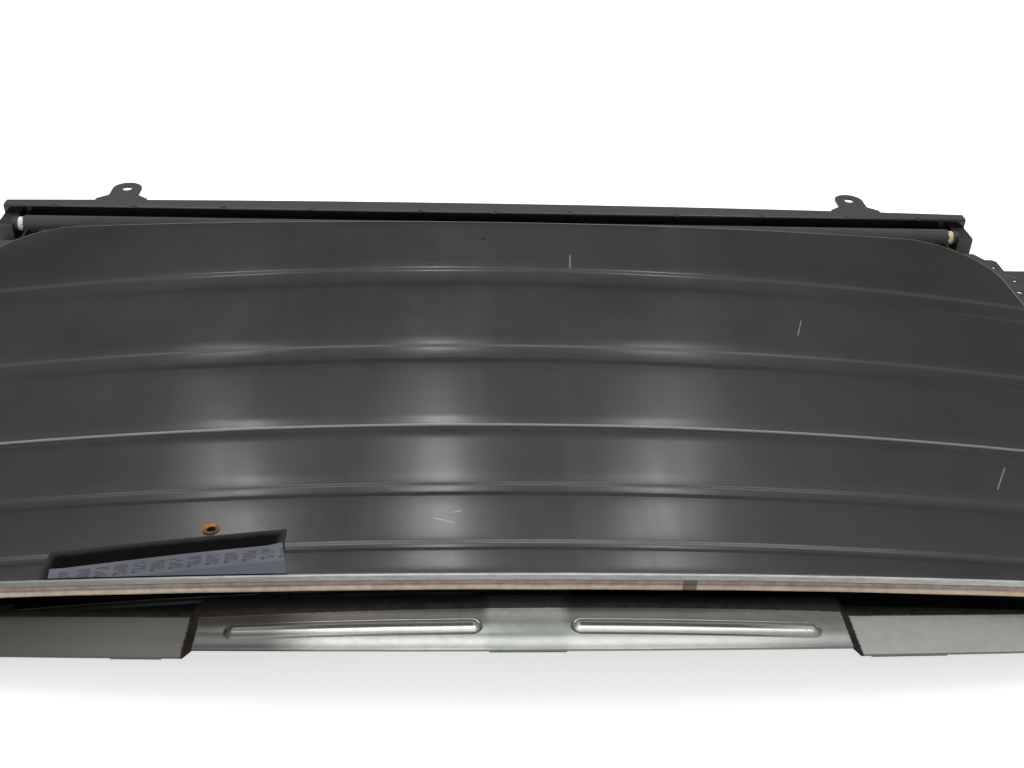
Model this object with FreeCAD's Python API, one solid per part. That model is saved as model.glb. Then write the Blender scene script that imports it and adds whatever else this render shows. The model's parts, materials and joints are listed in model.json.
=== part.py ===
import FreeCAD, Part
import math
import os

os.makedirs("parts", exist_ok=True)

# Car sunroof module, in millimetres. The origin is under the middle of the module, on the plane it rests on.
# +X points to the right-hand side, +Y away from the front crossmember, +Z up.

# Overall sizes, clearances and stock
module_length = 652.0         # front flange to ear tips
module_width = 1000.0         # over the side plates
gap = 0.3                     # between pieces that lie next to each other without touching
pin_gap = 0.05                # radial clearance of a pin in a hole that turns on it
steel = 1.5                   # thickness of the pressed steel sheets
front_edge = -module_length / 2
half_width = module_width / 2

# Lid
lid_side_inset = 55.5         # lid to the module's side
lid_front_inset = 38.0
lid_back_inset = 160.0
lid_top = 71.0                # height of the crown at the middle
crown_drop = 31.27893         # the lid's side edges lie this much below its middle
near_bow = 5256.0             # plan radius of the near edge
far_bow = 2817.0              # plan radius of the far edge
lid_corner = 66.0
skin = 1.5
parting_inset = 143.3         # near edge to the parting line
parting_width = 4.6
parting_lap = 3.0             # how far the parting seal reaches under each skin
groove_depth = 1.2
# One row for each groove: distance of its middle from the lid's near edge, near wall, floor, far wall
rear_grooves = [(235.2, 9.4, 13.8, 3.7), (352.1, 12.3, 16.3, 5.6)]
front_grooves = [(25.9, 4.6, 2.2, 3.2), (77.6, 5.7, 5.9, 2.2)]
stiffener = 1.5               # sheet of the inner lid frame
stiffener_inset = 9.0
stiffener_width = 52.0
stiffener_bar = 44.0          # crossbar under the parting line
seal_inset = 0.8
seal_width = 7.5
seal_height = 5.2
lip_thickness = 1.5
lip_height = 3.5
lip_end_inset = 70.5          # lip's end to the lid's side
front_seal_height = 8.5
front_seal_depth = 7.5
bush_side_inset = 263.5
bush_front_inset = 45.0
bush_radius = 3.6
bush_flange_radius = 5.0
bush_flange = 0.6
pad_side_inset = 174.5
pad_length = 133.0
pad_depth = 37.0              # lid's near edge to the pad's far side
pad_thickness = 0.8
label_margin = 1.0            # bare pad at each end of the label
label_depth = 24.0
label_thickness = 0.3

# Side rails, section measured from the inner face outwards and from the underside up
rail_side_inset = 64.0        # rail's outer face to the module's side
rail_width = 54.0
rail_front_inset = 90.0
rail_base = 2.0
blind_slot_height = 5.0
rail_mid = 2.0
track_inner = 17.0            # inner face of the lid track, from the rail's inner face
track_width = 22.0
track_height = 8.5
track_mouth = 10.0
track_wall = 2.5
track_lip = 1.5
rail_wall = 2.0
rail_flange = 16.0
cable_boss = 3.0              # half width of the bead that holds the cable's bore
cable_boss_height = 5.0

# Side plates
plate_overlap = 15.0          # how far the plate lies on the rail's flange
plate_front_inset = 98.0
plate_fold = 10.0
plate_corner = 10.0
tab_inset = 56.0              # rear fold to the tab's end
tab_step = 12.0
tab_width = 32.3
tab_cut = 3.3
shoulder_inset = 90.0         # rear fold to the plate's far shoulder
body_hole_inset = 16.0
body_hole_front = 28.0        # plate's near end to the first body hole
body_hole_span = 280.0
body_hole_radius = 3.5
# One row for each small hole: distance from the plate's inner edge, from the rear fold, radius
tab_holes = [(25.5, 82.7, 2.2), (35.1, 108.8, 2.2), (30.8, 130.4, 2.6)]

# Rear crossmember
rear_side_inset = 36.0
rear_height = 31.5
rear_inset = 55.0             # ear tips to the fold
rear_depth_mid = 20.0
rear_depth_end = 11.0
rear_foot = 46.0
rear_bend = 3.0               # outside radius of the fold
ear_side_inset = 142.0
ear_hole_radius = 4.5
ear_radius = 14.0
ear_base = 25.0
ear_root = 4.0                # from the fold to the start of the ear's flare
ear_flare = 14.0
ear_neck = 22.0

# Front crossmember
flange_top = 52.0
flange_step = 6.0             # the outer fields lie this much lower
field_half = 180.5
step_run = 6.0
flange_sag = 39.8125          # the near edge's ends lie this much behind its middle
front_flange = 42.0
front_depth = 90.0            # near edge to the far edge of its floor
front_side_inset = 45.0
arch_rise = 27.0
foot_inset = 12.0             # the flat foot starts this far inside the rail
foot_depth = 126.0
foot_lap = 5.0
bead_start, bead_end = 24.5, 165.5
bead_inset = 18.0
bead_width = 12.0
bead_height = 2.4

# Roller blind
roller_inset = 15.0           # fold to the roller's axis
roller_z = 19.0
tube_radius = 7.0
tube_wall = 1.2
cloth_radius = 8.25
cloth_thickness = 0.5
cloth_margin = 0.5            # bare tube at each end of the wound cloth
spindle_radius = 1.8
plug_depth = 15.0
plug_collar = 1.0
plug_end = 11.0               # how far the spindle sticks out of the collar
holder_width = 14.0
holder_depth = 25.0
holder_top = 22.5
holder_chamfer = 1.0
hub_radius = 7.5
hub_length = 3.7
bush_length = 3.5
bush_body_radius = 6.5
bush_spigot_radius = 2.8
bush_spigot = 8.0
blind_margin = 2.0            # cloth's edge to the rail
pull_bar_inset = 36.0         # fold to the pull bar's far face
pull_bar_depth = 22.0
pull_bar_height = 7.0
pull_bar_rib = 3.0
pull_bar_back = 8.0
pull_bar_floor = 2.0

# Carriage, levers and lid brackets
carriage_plate = 3.0
carriage_room = 1.5           # over and under its bar in the track
pivot_inset = 105.0
pivot_z = 29.0
pivot_radius = 4.0
ear_round = 6.5
lever_ear_round = 6.0
lever_length = 45.0
lever_rise = 3.0              # the lever's pin lies this much above its pivot at rest
lever_plate = 3.0
lever_half = 4.5
lever_pin_radius = 2.75
lever_pivot_radius = 3.0
slot_distance = 185.0         # front pivot to the slot in the lid bracket
slot_half_length = 8.0
slot_play = 0.6
shoe_length = 24.0
head_height = 2.0             # heads of the pivot pins
head_margin = 1.8
bracket_plate = 2.5
bracket_offset = 3.0          # bracket's web outside the carriage's middle plane
bracket_low = 22.5
bracket_flange = 2.0
bracket_flange_in = 12.0
bracket_flange_out = 20.0
bracket_end = 12.0            # web beyond the front pivot
bracket_tail = 40.0           # flange beyond the web

# Drive
pinion_inset = 72.0
pinion_pitch = 8.0            # from its middle to each cable
pinion_root = 5.0
pinion_tip = 6.6
pinion_teeth = 12
pinion_height = 7.0
pinion_lift = 1.5             # over the crossmember's floor
pinion_shaft = 2.5
pinion_shaft_depth = 9.0      # into the gearbox
pinion_room = 3.0             # floor hole's edge beyond the cables
cable_tube_radius = 3.0
cable_bore = 2.0
cable_tube_rise = 5.0         # its centre line above the crossmember's floor
tube_sides = 12
guide_half = 28.0
guide_margin = 6.0
guide_height = 11.0
gearbox_half = 30.0
gearbox_depth = 46.0
gearbox_height = 15.0
gearbox_corner = 6.0
cover_height = 3.0
cover_inset = 2.0
motor_radius = 11.5
motor_length = 72.0
motor_boss = 4.0
motor_clearance = 0.558       # under the arch, at the motor's far end
socket_length = 14.0
socket_half = 9.0
socket_half_height = 5.0
socket_wall = 1.5
socket_floor = 3.0
socket_pin = 1.0
socket_pin_spacing = 4.0
corner_guide_height = 18.0
corner_pocket_depth = 6.0
corner_wall = 8.0
corner_bore = 25.0
clip_pitch = 150.0
clip_end_gap = 20.0           # last clip to the rail, at least
clip_length = 8.0
clip_wall = 1.6
stop_length = 3.0

# Sizes that follow from those above
lid_width = module_width - 2 * lid_side_inset
lid_near = front_edge + lid_front_inset
lid_far = -front_edge - lid_back_inset
lip_half = lid_width / 2 - lip_end_inset
crown_radius = ((lid_width / 2) ** 2 + crown_drop ** 2) / (2 * crown_drop)
parting_y = lid_near + parting_inset
bush_x = bush_side_inset - lid_width / 2
bush_y = lid_near + bush_front_inset
pad_start = pad_side_inset - lid_width / 2
rail_outer = half_width - rail_side_inset
rail_inner = rail_outer - rail_width
rail_near = front_edge + rail_front_inset
rear_fold = -front_edge - rear_inset
rear_half = half_width - rear_side_inset
ear_x = half_width - ear_side_inset
ear_y = -front_edge - ear_radius
plate_inner = rail_outer + rail_flange - plate_overlap
front_half = half_width - front_side_inset
flange_bow = front_half ** 2 / (2 * flange_sag)
flange_back = front_edge + front_flange
floor_far = front_edge + front_depth
foot_inner = rail_inner - foot_inset
bead_y = front_edge + bead_inset
roller_y = rear_fold - roller_inset
holder_inner = rear_half - holder_width
holder_near = rear_fold - holder_depth
rail_far = holder_near - stop_length
roller_half = holder_inner - hub_length - bush_length - gap - plug_collar
cloth_half = roller_half - cloth_margin
pull_bar_far = rear_fold - pull_bar_inset
pull_bar_near = pull_bar_far - pull_bar_depth
pinion_y = front_edge + pinion_inset
pivot_y = front_edge + pivot_inset
slot_y = pivot_y + slot_distance
lever_pivot_y = slot_y - lever_length
lever_pivot_z = pivot_z - lever_rise
rail_floor = steel
blind_slot_low = rail_floor + rail_base
blind_slot_high = blind_slot_low + blind_slot_height
track_low = blind_slot_high + rail_mid
track_high = track_low + track_height
rail_top = track_high + track_lip
track_middle = rail_inner + track_inner + track_width / 2
stiffener_offset = skin + groove_depth + gap
under_stiffener = stiffener_offset + stiffener
gearbox_top = arch_rise - 2 * gap
clip_count = int((rail_inner - clip_end_gap) / clip_pitch)
arch_radius = ((rail_inner - foot_inset) ** 2 + arch_rise ** 2) / (2 * arch_rise)


def vec(x, y, z=0.0):
    return FreeCAD.Vector(x, y, z)


AXIS_X, AXIS_Y, AXIS_Z = vec(1, 0, 0), vec(0, 1, 0), vec(0, 0, 1)
CROWN_AXIS = vec(0, 0, lid_top - crown_radius)


def block(x0, x1, y0, y1, z0, z1):
    return Part.makeBox(x1 - x0, y1 - y0, z1 - z0, vec(x0, y0, z0))


def rod(radius, start, end):
    """A cylinder from one point to another."""
    axis = end - start
    return Part.makeCylinder(radius, axis.Length, start, axis)


def fused(shapes):
    whole = shapes[0]
    if len(shapes) > 1:
        whole = whole.fuse(shapes[1:])
    return whole.removeSplitter()


def mirrored(shape):
    """The left-hand twin of a right-hand piece."""
    return shape.mirror(vec(0, 0, 0), AXIS_X)


def save(name, shape):
    shape.exportStep("parts/" + name + ".step")


def save_pair(name, shape):
    save(name + "_right", shape)
    save(name + "_left", mirrored(shape))


def polygon(points):
    return Part.Face(Part.makePolygon(points + points[:1]))


def vertical_edges(shape):
    return [e for e in shape.Edges if abs(e.BoundBox.XLength) + abs(e.BoundBox.YLength) < 1e-6]


def bowed(y_middle, x, bow):
    """Y of an edge that bows towards the near side, at a distance x from the middle."""
    return y_middle + x * x / (2 * bow)


def plan_prism(half, near, near_radius, far, far_radius, z0, z1):
    """A prism whose near and far edges are shallow arcs."""
    near_end = bowed(near, half, near_radius)
    far_end = bowed(far, half, far_radius)
    edges = [
        Part.Arc(vec(-half, near_end, z0), vec(0, near, z0), vec(half, near_end, z0)).toShape(),
        Part.makeLine(vec(half, near_end, z0), vec(half, far_end, z0)),
        Part.Arc(vec(half, far_end, z0), vec(0, far, z0), vec(-half, far_end, z0)).toShape(),
        Part.makeLine(vec(-half, far_end, z0), vec(-half, near_end, z0)),
    ]
    return Part.Face(Part.Wire(edges)).extrude(vec(0, 0, z1 - z0))


def lid_prism(inset):
    """The lid's plan outline, drawn in by an inset and taken through its whole height."""
    half = lid_width / 2 - inset
    prism = plan_prism(half, lid_near + inset, near_bow, lid_far - inset, far_bow, 0, 2 * lid_top)
    return prism.makeFillet(lid_corner - inset, vertical_edges(prism))


def crown_layer(top_offset, bottom_offset):
    """The space between two cylinders that lie the given depths under the lid's crown."""
    reach = lid_width / 2 + 20
    points = []
    for offset in (top_offset, bottom_offset):
        radius = crown_radius - offset
        points.append([vec(x, -module_length, CROWN_AXIS.z + math.sqrt(radius ** 2 - x ** 2))
                       for x in (-reach, 0, reach)])
    upper, lower = points
    edges = [
        Part.Arc(*upper).toShape(),
        Part.makeLine(upper[2], lower[2]),
        Part.Arc(lower[2], lower[1], lower[0]).toShape(),
        Part.makeLine(lower[0], upper[0]),
    ]
    return Part.Face(Part.Wire(edges)).extrude(vec(0, 2 * module_length, 0))


def crown_core(offset):
    """Everything under a cylinder that lies the given depth under the crown."""
    return crown_layer(offset, lid_top)


def crown_sweep(section):
    """A section in the middle plane, swept round the crown's axis to both sides."""
    half_angle = math.degrees(math.asin((lid_width / 2 + 10) / crown_radius))
    face = polygon([vec(0, y, z) for y, z in section])
    face.rotate(CROWN_AXIS, AXIS_Y, -half_angle)
    return face.revolve(CROWN_AXIS, AXIS_Y, 2 * half_angle)


def near_strip(front, back, half):
    """A strip along the lid's near edge, between two depths behind it."""
    return plan_prism(half, lid_near + front, near_bow, lid_near + back, near_bow, 0, 2 * lid_top)


def grooved_section(near, far, grooves):
    """The section of a pressed skin with shallow grooves across it."""
    upper = [(near, lid_top)]
    for inset, near_wall, floor, far_wall in grooves:
        start = lid_near + inset - (near_wall + floor + far_wall) / 2
        upper.append((start, lid_top))
        upper.append((start + near_wall, lid_top - groove_depth))
        upper.append((start + near_wall + floor, lid_top - groove_depth))
        upper.append((start + near_wall + floor + far_wall, lid_top))
    upper.append((far, lid_top))
    lower = [(y, z - skin) for y, z in reversed(upper)]
    return upper + lower


def lid_skins():
    outline = lid_prism(0)
    beyond = module_length / 2
    rear = crown_sweep(grooved_section(parting_y + parting_width / 2, beyond, rear_grooves))
    front = crown_sweep(grooved_section(-beyond, parting_y - parting_width / 2, front_grooves))
    front = front.common(outline)
    front = front.cut(near_strip(-lip_thickness, lip_thickness, lip_half))
    bush_hole = Part.makeCylinder(bush_radius, 2 * lid_top, vec(bush_x, bush_y, 0))
    save("lid_rear_skin", rear.common(outline))
    save("lid_front_skin", front.cut(bush_hole))


def lid_inner_pieces():
    layer = crown_layer(stiffener_offset, under_stiffener)
    inner = lid_prism(stiffener_inset + stiffener_width)
    bar = block(-lid_width, lid_width, parting_y - stiffener_bar / 2, parting_y + stiffener_bar / 2,
                0, 2 * lid_top)
    ring = lid_prism(stiffener_inset).cut(inner.cut(bar))
    save("lid_stiffener", layer.common(ring))

    low, high = lid_top - stiffener_offset + pin_gap, lid_top - skin
    reach = parting_width / 2 + parting_lap
    near, far = parting_y - reach, parting_y + reach
    strip = crown_sweep([(near, low), (far, low), (far, high), (near, high)])
    save("parting_seal", strip.common(lid_prism(stiffener_inset)))

    ring = lid_prism(seal_inset).cut(lid_prism(seal_inset + seal_width))
    ring = ring.cut(near_strip(-1, front_seal_depth + gap, lip_half + gap))
    save("lid_edge_seal", ring.common(crown_layer(stiffener_offset, stiffener_offset + seal_height)))


def lid_front_edge():
    lip = near_strip(0, lip_thickness, lip_half)
    save("front_lip", lip.common(crown_layer(0, lip_height)))
    seal = near_strip(gap, front_seal_depth, lip_half)
    seal_top = lip_height + gap
    save("front_seal", seal.common(crown_layer(seal_top, seal_top + front_seal_height)))


def bush_and_label():
    """A thin pad on the front skin with a label on it; both end behind the lid's front lip."""
    edge = near_strip(-lid_front_inset, lip_thickness + gap, lid_width / 2)
    pad_box = block(pad_start, pad_start + pad_length, lid_near, lid_near + pad_depth, 0, 2 * lid_top)
    hole = Part.makeCylinder(bush_flange_radius + gap, 2 * lid_top, vec(bush_x, bush_y, 0))
    pad_layer = crown_layer(-pad_thickness, 0).common(pad_box)
    save("dark_pad", pad_layer.cut(hole).cut(edge))
    label_box = block(pad_start + label_margin, pad_start + pad_length - label_margin,
                      lid_near, lid_near + label_depth, 0, 2 * lid_top)
    label_layer = crown_layer(-pad_thickness - label_thickness, -pad_thickness).common(label_box)
    save("label_sheet", label_layer.cut(edge))


def threaded_bush():
    """A brass bush through the front skin, with a thin flange on top."""
    seat = math.sqrt(crown_radius ** 2 - bush_x ** 2) + CROWN_AXIS.z + gap
    depth = skin + 2 * gap
    body = Part.makeCylinder(bush_radius - pin_gap, depth, vec(bush_x, bush_y, seat - depth))
    flange = Part.makeCylinder(bush_flange_radius, bush_flange, vec(bush_x, bush_y, seat))
    bore = Part.makeCylinder(bush_radius / 2, 3 * lid_top, vec(bush_x, bush_y, -lid_top))
    return body.fuse(flange).cut(bore)


def lid_bracket():
    """A pressed bracket under the lid: a crowned flange, and a web with a pivot hole and a slot."""
    web_inner = track_middle + bracket_offset
    web_outer = web_inner + bracket_plate
    near, far = pivot_y - bracket_end, slot_y + 2 * slot_half_length
    web = block(web_inner, web_outer, near, far, bracket_low, lid_top)
    web = web.common(crown_core(under_stiffener + bracket_flange / 2))
    flange = block(track_middle - bracket_flange_in, track_middle + bracket_flange_out, near,
                   far + bracket_tail, 0, lid_top)
    flange = flange.common(crown_layer(under_stiffener, under_stiffener + bracket_flange))
    start, end = vec(web_inner - 1, pivot_y, pivot_z), vec(web_outer + 1, pivot_y, pivot_z)
    hole = rod(pivot_radius + pin_gap, start, end)
    half_height = lever_pin_radius + slot_play
    straight = slot_half_length - half_height
    slot = block(web_inner - 1, web_outer + 1, slot_y - straight, slot_y + straight,
                 pivot_z - half_height, pivot_z + half_height)
    for y in (slot_y - straight, slot_y + straight):
        slot = slot.fuse(rod(half_height, vec(web_inner - 1, y, pivot_z), vec(web_outer + 1, y, pivot_z)))
    return fused([web, flange]).cut(hole).cut(slot)


def side_rail():
    """The right-hand rail: a slot for the blind below, the lid's track above, a gutter outside."""
    body = block(rail_inner, rail_outer, rail_near, rail_far, rail_floor, rail_top)
    track_in = rail_inner + track_inner
    track_out = track_in + track_width
    mouth_in = track_middle - track_mouth / 2
    mouth_out = track_middle + track_mouth / 2
    over = rail_top + 1
    cuts = [
        (rail_inner - 1, rail_outer - rail_wall, blind_slot_low, blind_slot_high),
        (track_in, track_out, track_low, track_high),
        (mouth_in, mouth_out, track_low, over),
        (rail_inner - 1, track_in - track_wall, track_low, over),
        (track_out + track_wall, rail_outer - rail_wall, track_low, over),
    ]
    for x0, x1, z0, z1 in cuts:
        body = body.cut(block(x0, x1, rail_near - 1, rail_far + 1, z0, z1))
    flange_far = rear_fold - tab_inset - tab_step
    flange = block(rail_outer - rail_wall, rail_outer + rail_flange, rail_near, flange_far,
                   rail_top - track_lip, rail_top)
    boss_x = track_out + track_wall + cable_boss
    boss = block(boss_x - cable_boss, boss_x + cable_boss, rail_near, rail_far, track_low,
                 track_low + cable_boss_height)
    bore = Part.makeCylinder(cable_bore, rail_far - rail_near + 2,
                             vec(boss_x, rail_near - 1, track_low + cable_boss_height / 2), AXIS_Y)
    return fused([body, flange, boss]).cut(bore)


def side_plate():
    """The right-hand mounting plate, with its stepped far end and a fold along the outer edge."""
    near = front_edge + plate_front_inset
    shoulder = rear_fold - shoulder_inset
    tab_far = rear_fold - tab_inset
    tab_x = plate_inner + tab_width
    outline = [
        (plate_inner, near), (half_width - plate_corner, near), (half_width, near + plate_corner),
        (half_width, shoulder - plate_corner), (half_width - plate_corner, shoulder), (tab_x, shoulder),
        (tab_x, tab_far - tab_step - tab_cut), (tab_x - tab_cut, tab_far - tab_step),
        (tab_x - 3 * tab_cut, tab_far - tab_step), (tab_x - 5 * tab_cut, tab_far),
        (plate_inner + tab_cut, tab_far), (plate_inner, tab_far - tab_step),
    ]
    plate = polygon([vec(x, y, rail_top) for x, y in outline]).extrude(vec(0, 0, steel))
    fold = block(half_width - steel, half_width, near + plate_corner, shoulder - plate_corner,
                 rail_top + steel - plate_fold, rail_top + steel)
    places = [(plate_inner + x, rear_fold - y, radius) for x, y, radius in tab_holes]
    first = near + body_hole_front
    for y in (first, first + body_hole_span):
        places.append((half_width - body_hole_inset, y, body_hole_radius))
    holes = [rod(radius, vec(x, y, 0), vec(x, y, lid_top)) for x, y, radius in places]
    return fused([plate, fold]).cut(Part.makeCompound(holes))


def ear_outline(side):
    """The plan of one bolting ear: a round tip on a flared root."""
    x = side * ear_x
    root = rear_fold + ear_root
    tip = Part.makeCylinder(ear_radius, 2 * rear_height, vec(x, ear_y, 0))
    flare = [(ear_base, root), (ear_base - 1, root + ear_flare), (ear_radius, root + ear_neck),
             (ear_radius, ear_y)]
    points = [vec(x + dx, y) for dx, y in flare] + [vec(x - dx, y) for dx, y in reversed(flare)]
    return tip.fuse(polygon(points).extrude(vec(0, 0, 2 * rear_height)))


def rear_crossmember():
    """A Z section: a foot for the roller's holders, a web, and a top flange with two ears."""
    end = rear_fold + rear_depth_end
    middle = rear_fold + rear_depth_mid
    outline = Part.Face(Part.Wire([
        Part.makeLine(vec(-rear_half, rear_fold), vec(rear_half, rear_fold)),
        Part.makeLine(vec(rear_half, rear_fold), vec(rear_half, end)),
        Part.Arc(vec(rear_half, end), vec(0, middle), vec(-rear_half, end)).toShape(),
        Part.makeLine(vec(-rear_half, end), vec(-rear_half, rear_fold))])).extrude(vec(0, 0, 2 * rear_height))
    outline = outline.fuse([ear_outline(-1), ear_outline(1)])
    top = block(-rear_half, rear_half, rear_fold, ear_y + ear_radius + 1, rear_height - steel, rear_height)
    web = block(-rear_half, rear_half, rear_fold, rear_fold + steel, 0, rear_height)
    foot = block(-rear_half, rear_half, rear_fold - rear_foot, rear_fold + steel, 0, steel)
    body = fused([top.common(outline), web, foot])
    fold_edges = [e for e in body.Edges
                  if abs(e.BoundBox.ZMin - rear_height) < 1e-6 and abs(e.BoundBox.YMax - rear_fold) < 1e-6]
    body = body.makeFillet(rear_bend - steel / 2, fold_edges)
    holes = [Part.makeCylinder(ear_hole_radius, 2 * rear_height, vec(x, ear_y, 0)) for x in (-ear_x, ear_x)]
    return body.cut(Part.makeCompound(holes))


def front_profile(offset):
    """Half of the front crossmember's stepped top line, from the middle outwards."""
    radius = crown_radius
    drop = radius - math.sqrt(radius ** 2 - field_half ** 2)
    edge = vec(field_half, 0, flange_top - drop - offset)
    outer_start = field_half + step_run

    def outer(x):
        return vec(x, 0, flange_top - flange_step - radius + math.sqrt(radius ** 2 - x ** 2) - offset)

    middle = (outer_start + front_half) / 2
    return edge, outer(outer_start), outer(middle), outer(front_half)


def flipped(point):
    return vec(-point.x, point.y, point.z)


def front_top_edges(offset):
    edge, start, middle, end = front_profile(offset)
    return [
        Part.Arc(flipped(end), flipped(middle), flipped(start)).toShape(),
        Part.makeLine(flipped(start), flipped(edge)),
        Part.Arc(flipped(edge), vec(0, 0, flange_top - offset), edge).toShape(),
        Part.makeLine(edge, start),
        Part.Arc(start, middle, end).toShape(),
    ]


def floor_edges(lift):
    """The arched floor line of the front crossmember, with flat feet at both ends."""
    high = vec(0, 0, arch_rise + lift)
    ends = [vec(-foot_inner, 0, lift), vec(foot_inner, 0, lift)]
    return [
        Part.makeLine(vec(-front_half, 0, lift), ends[0]),
        Part.Arc(ends[0], high, ends[1]).toShape(),
        Part.makeLine(ends[1], vec(front_half, 0, lift)),
    ]


def band_solid(upper, lower):
    """A sheet between two lines of the front view, taken along the whole module."""
    start = upper[0].valueAt(upper[0].FirstParameter)
    end = upper[-1].valueAt(upper[-1].LastParameter)
    low_start = lower[0].valueAt(lower[0].FirstParameter)
    low_end = lower[-1].valueAt(lower[-1].LastParameter)
    wire = Part.Wire(Part.__sortEdges__(upper + lower + [Part.makeLine(end, low_end),
                                                        Part.makeLine(low_start, start)]))
    face = Part.Face(wire)
    solid = face.extrude(vec(0, 2 * module_length, 0))
    solid.translate(vec(0, -module_length, 0))
    return solid


def bead(x_start, x_end):
    """A pressed bead along the crown, with round ends."""
    half = bead_width / 2
    radius = (half ** 2 + bead_height ** 2) / (2 * bead_height)
    base = flange_top - steel / 2
    dome_low = flange_top + bead_height - radius
    axis = vec(0, 0, flange_top - crown_radius)
    angles = [math.degrees(math.asin(x / crown_radius)) for x in (x_start + half, x_end - half)]
    foot = math.sqrt(radius ** 2 - (base - dome_low) ** 2)
    arc = Part.Arc(vec(0, bead_y - foot, base), vec(0, bead_y, flange_top + bead_height),
                   vec(0, bead_y + foot, base)).toShape()
    chord = Part.makeLine(vec(0, bead_y + foot, base), vec(0, bead_y - foot, base))
    section = Part.Face(Part.Wire([arc, chord]))
    section.rotate(axis, AXIS_Y, angles[0])
    ridge = section.revolve(axis, AXIS_Y, angles[1] - angles[0])
    pieces = [ridge]
    half_arc = Part.Arc(vec(0, bead_y, flange_top + bead_height),
                        vec(0, bead_y + foot * 0.6, dome_low + math.sqrt(radius ** 2 - (foot * 0.6) ** 2)),
                        vec(0, bead_y + foot, base)).toShape()
    half_face = Part.Face(Part.Wire([
        half_arc, Part.makeLine(vec(0, bead_y + foot, base), vec(0, bead_y, base)),
        Part.makeLine(vec(0, bead_y, base), vec(0, bead_y, flange_top + bead_height))]))
    for angle in angles:
        dome = half_face.revolve(vec(0, bead_y, base), AXIS_Z, 360)
        dome.rotate(axis, AXIS_Y, angle)
        pieces.append(dome)
    return pieces[0].fuse(pieces[1:])


def front_crossmember():
    """A Z section: a stepped top flange, a web, and an arched floor with flat feet for the rails."""
    low, high = -steel, 2 * lid_top
    flange_plan = plan_prism(front_half, front_edge, flange_bow, flange_back, near_bow, low, high)
    flange = band_solid(front_top_edges(0), front_top_edges(steel)).common(flange_plan)
    beads = [bead(bead_start, bead_end)]
    beads.append(mirrored(beads[0]))
    hollows = [b.translated(vec(0, 0, -steel)) for b in beads]
    flange = flange.fuse(beads).cut(Part.makeCompound(hollows))

    web_plan = plan_prism(front_half, flange_back - steel, near_bow, flange_back, near_bow, low, high)
    web = band_solid(front_top_edges(0), floor_edges(0)).common(web_plan)

    floor = band_solid(floor_edges(steel), floor_edges(0))
    behind = plan_prism(front_half, flange_back - steel, near_bow, module_length, near_bow, low, high)
    floor = floor.common(behind)
    floor = floor.common(block(-front_half, front_half, front_edge, floor_far, low, high))
    pinion_hole = Part.makeCylinder(pinion_pitch + pinion_room, high, vec(0, pinion_y, low))
    foot = block(foot_inner, front_half, floor_far - foot_lap, front_edge + foot_depth, 0, steel)
    return fused([flange, web, floor.cut(pinion_hole), foot, mirrored(foot)])


def roller_holder():
    """The right-hand end holder, with a hub on its inner face for the bush."""
    body = block(holder_inner, rear_half, holder_near, rear_fold, steel, holder_top)
    edges = [e for e in body.Edges
             if abs(e.BoundBox.ZMin - holder_top) < 1e-6 and abs(e.BoundBox.YMax - rear_fold) > 1e-6]
    body = body.makeChamfer(holder_chamfer, edges)
    start = vec(holder_inner - hub_length, roller_y, roller_z)
    hub = rod(hub_radius, start, vec(holder_inner + holder_chamfer, roller_y, roller_z))
    seat = rod(bush_spigot_radius, start - AXIS_X, start + AXIS_X * bush_spigot)
    return body.fuse(hub).removeSplitter().cut(seat)


def roller_bush():
    hub = vec(holder_inner - hub_length, roller_y, roller_z)
    start = hub - AXIS_X * bush_length
    body = rod(bush_body_radius, start, hub).fuse(rod(bush_spigot_radius, start, hub + AXIS_X * bush_spigot))
    bore = rod(spindle_radius + pin_gap, start - AXIS_X, hub + AXIS_X * holder_width)
    return body.removeSplitter().cut(bore)


def roller_pieces():
    start, end = vec(-roller_half, roller_y, roller_z), vec(roller_half, roller_y, roller_z)
    inside = tube_radius - tube_wall
    save("roller_tube", rod(tube_radius, start, end).cut(rod(inside, start - AXIS_X, end + AXIS_X)))
    plug = fused([
        rod(inside, end - AXIS_X * plug_depth, end),
        rod(tube_radius, end, end + AXIS_X * plug_collar),
        rod(spindle_radius, end, end + AXIS_X * (plug_collar + plug_end)),
    ])
    save_pair("roller_plug", plug)
    save("wound_cloth", wound_cloth())


def wound_cloth():
    """The rolled-up cloth: its outer turn starts one cloth thickness further out."""
    def point(radius, degrees):
        angle = math.radians(degrees)
        return vec(-cloth_half, roller_y + radius * math.cos(angle), roller_z + radius * math.sin(angle))

    step = cloth_radius - cloth_thickness
    turn = [Part.Arc(point(cloth_radius - cloth_thickness * a / 360, -90 + a),
                     point(cloth_radius - cloth_thickness * (a + 45) / 360, -45 + a),
                     point(cloth_radius - cloth_thickness * (a + 90) / 360, a)).toShape()
            for a in (0, 90, 180, 270)]
    turn.append(Part.makeLine(point(step, 270), point(cloth_radius, -90)))
    roll = Part.Face(Part.Wire(turn)).extrude(AXIS_X * 2 * cloth_half)
    middle = rod(tube_radius, vec(-roller_half, roller_y, roller_z), vec(roller_half, roller_y, roller_z))
    return roll.cut(middle)


def pull_bar():
    """The blind's front bar: a hollow-backed profile with a finger rib."""
    half = rail_inner - 1.0
    low = blind_slot_low + gap
    high = low + pull_bar_height
    body = block(-half, half, pull_bar_near, pull_bar_far, low, high)
    groove = block(-half - 1, half + 1, pull_bar_near + pull_bar_rib, pull_bar_far - pull_bar_back,
                   low + pull_bar_floor, high + 1)
    return body.cut(groove)


def pull_bar_glide():
    low, high = blind_slot_low + gap, blind_slot_high - gap
    return block(rail_inner - 1.0, rail_outer - rail_wall - 1.0, pull_bar_near, pull_bar_far, low, high)


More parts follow.
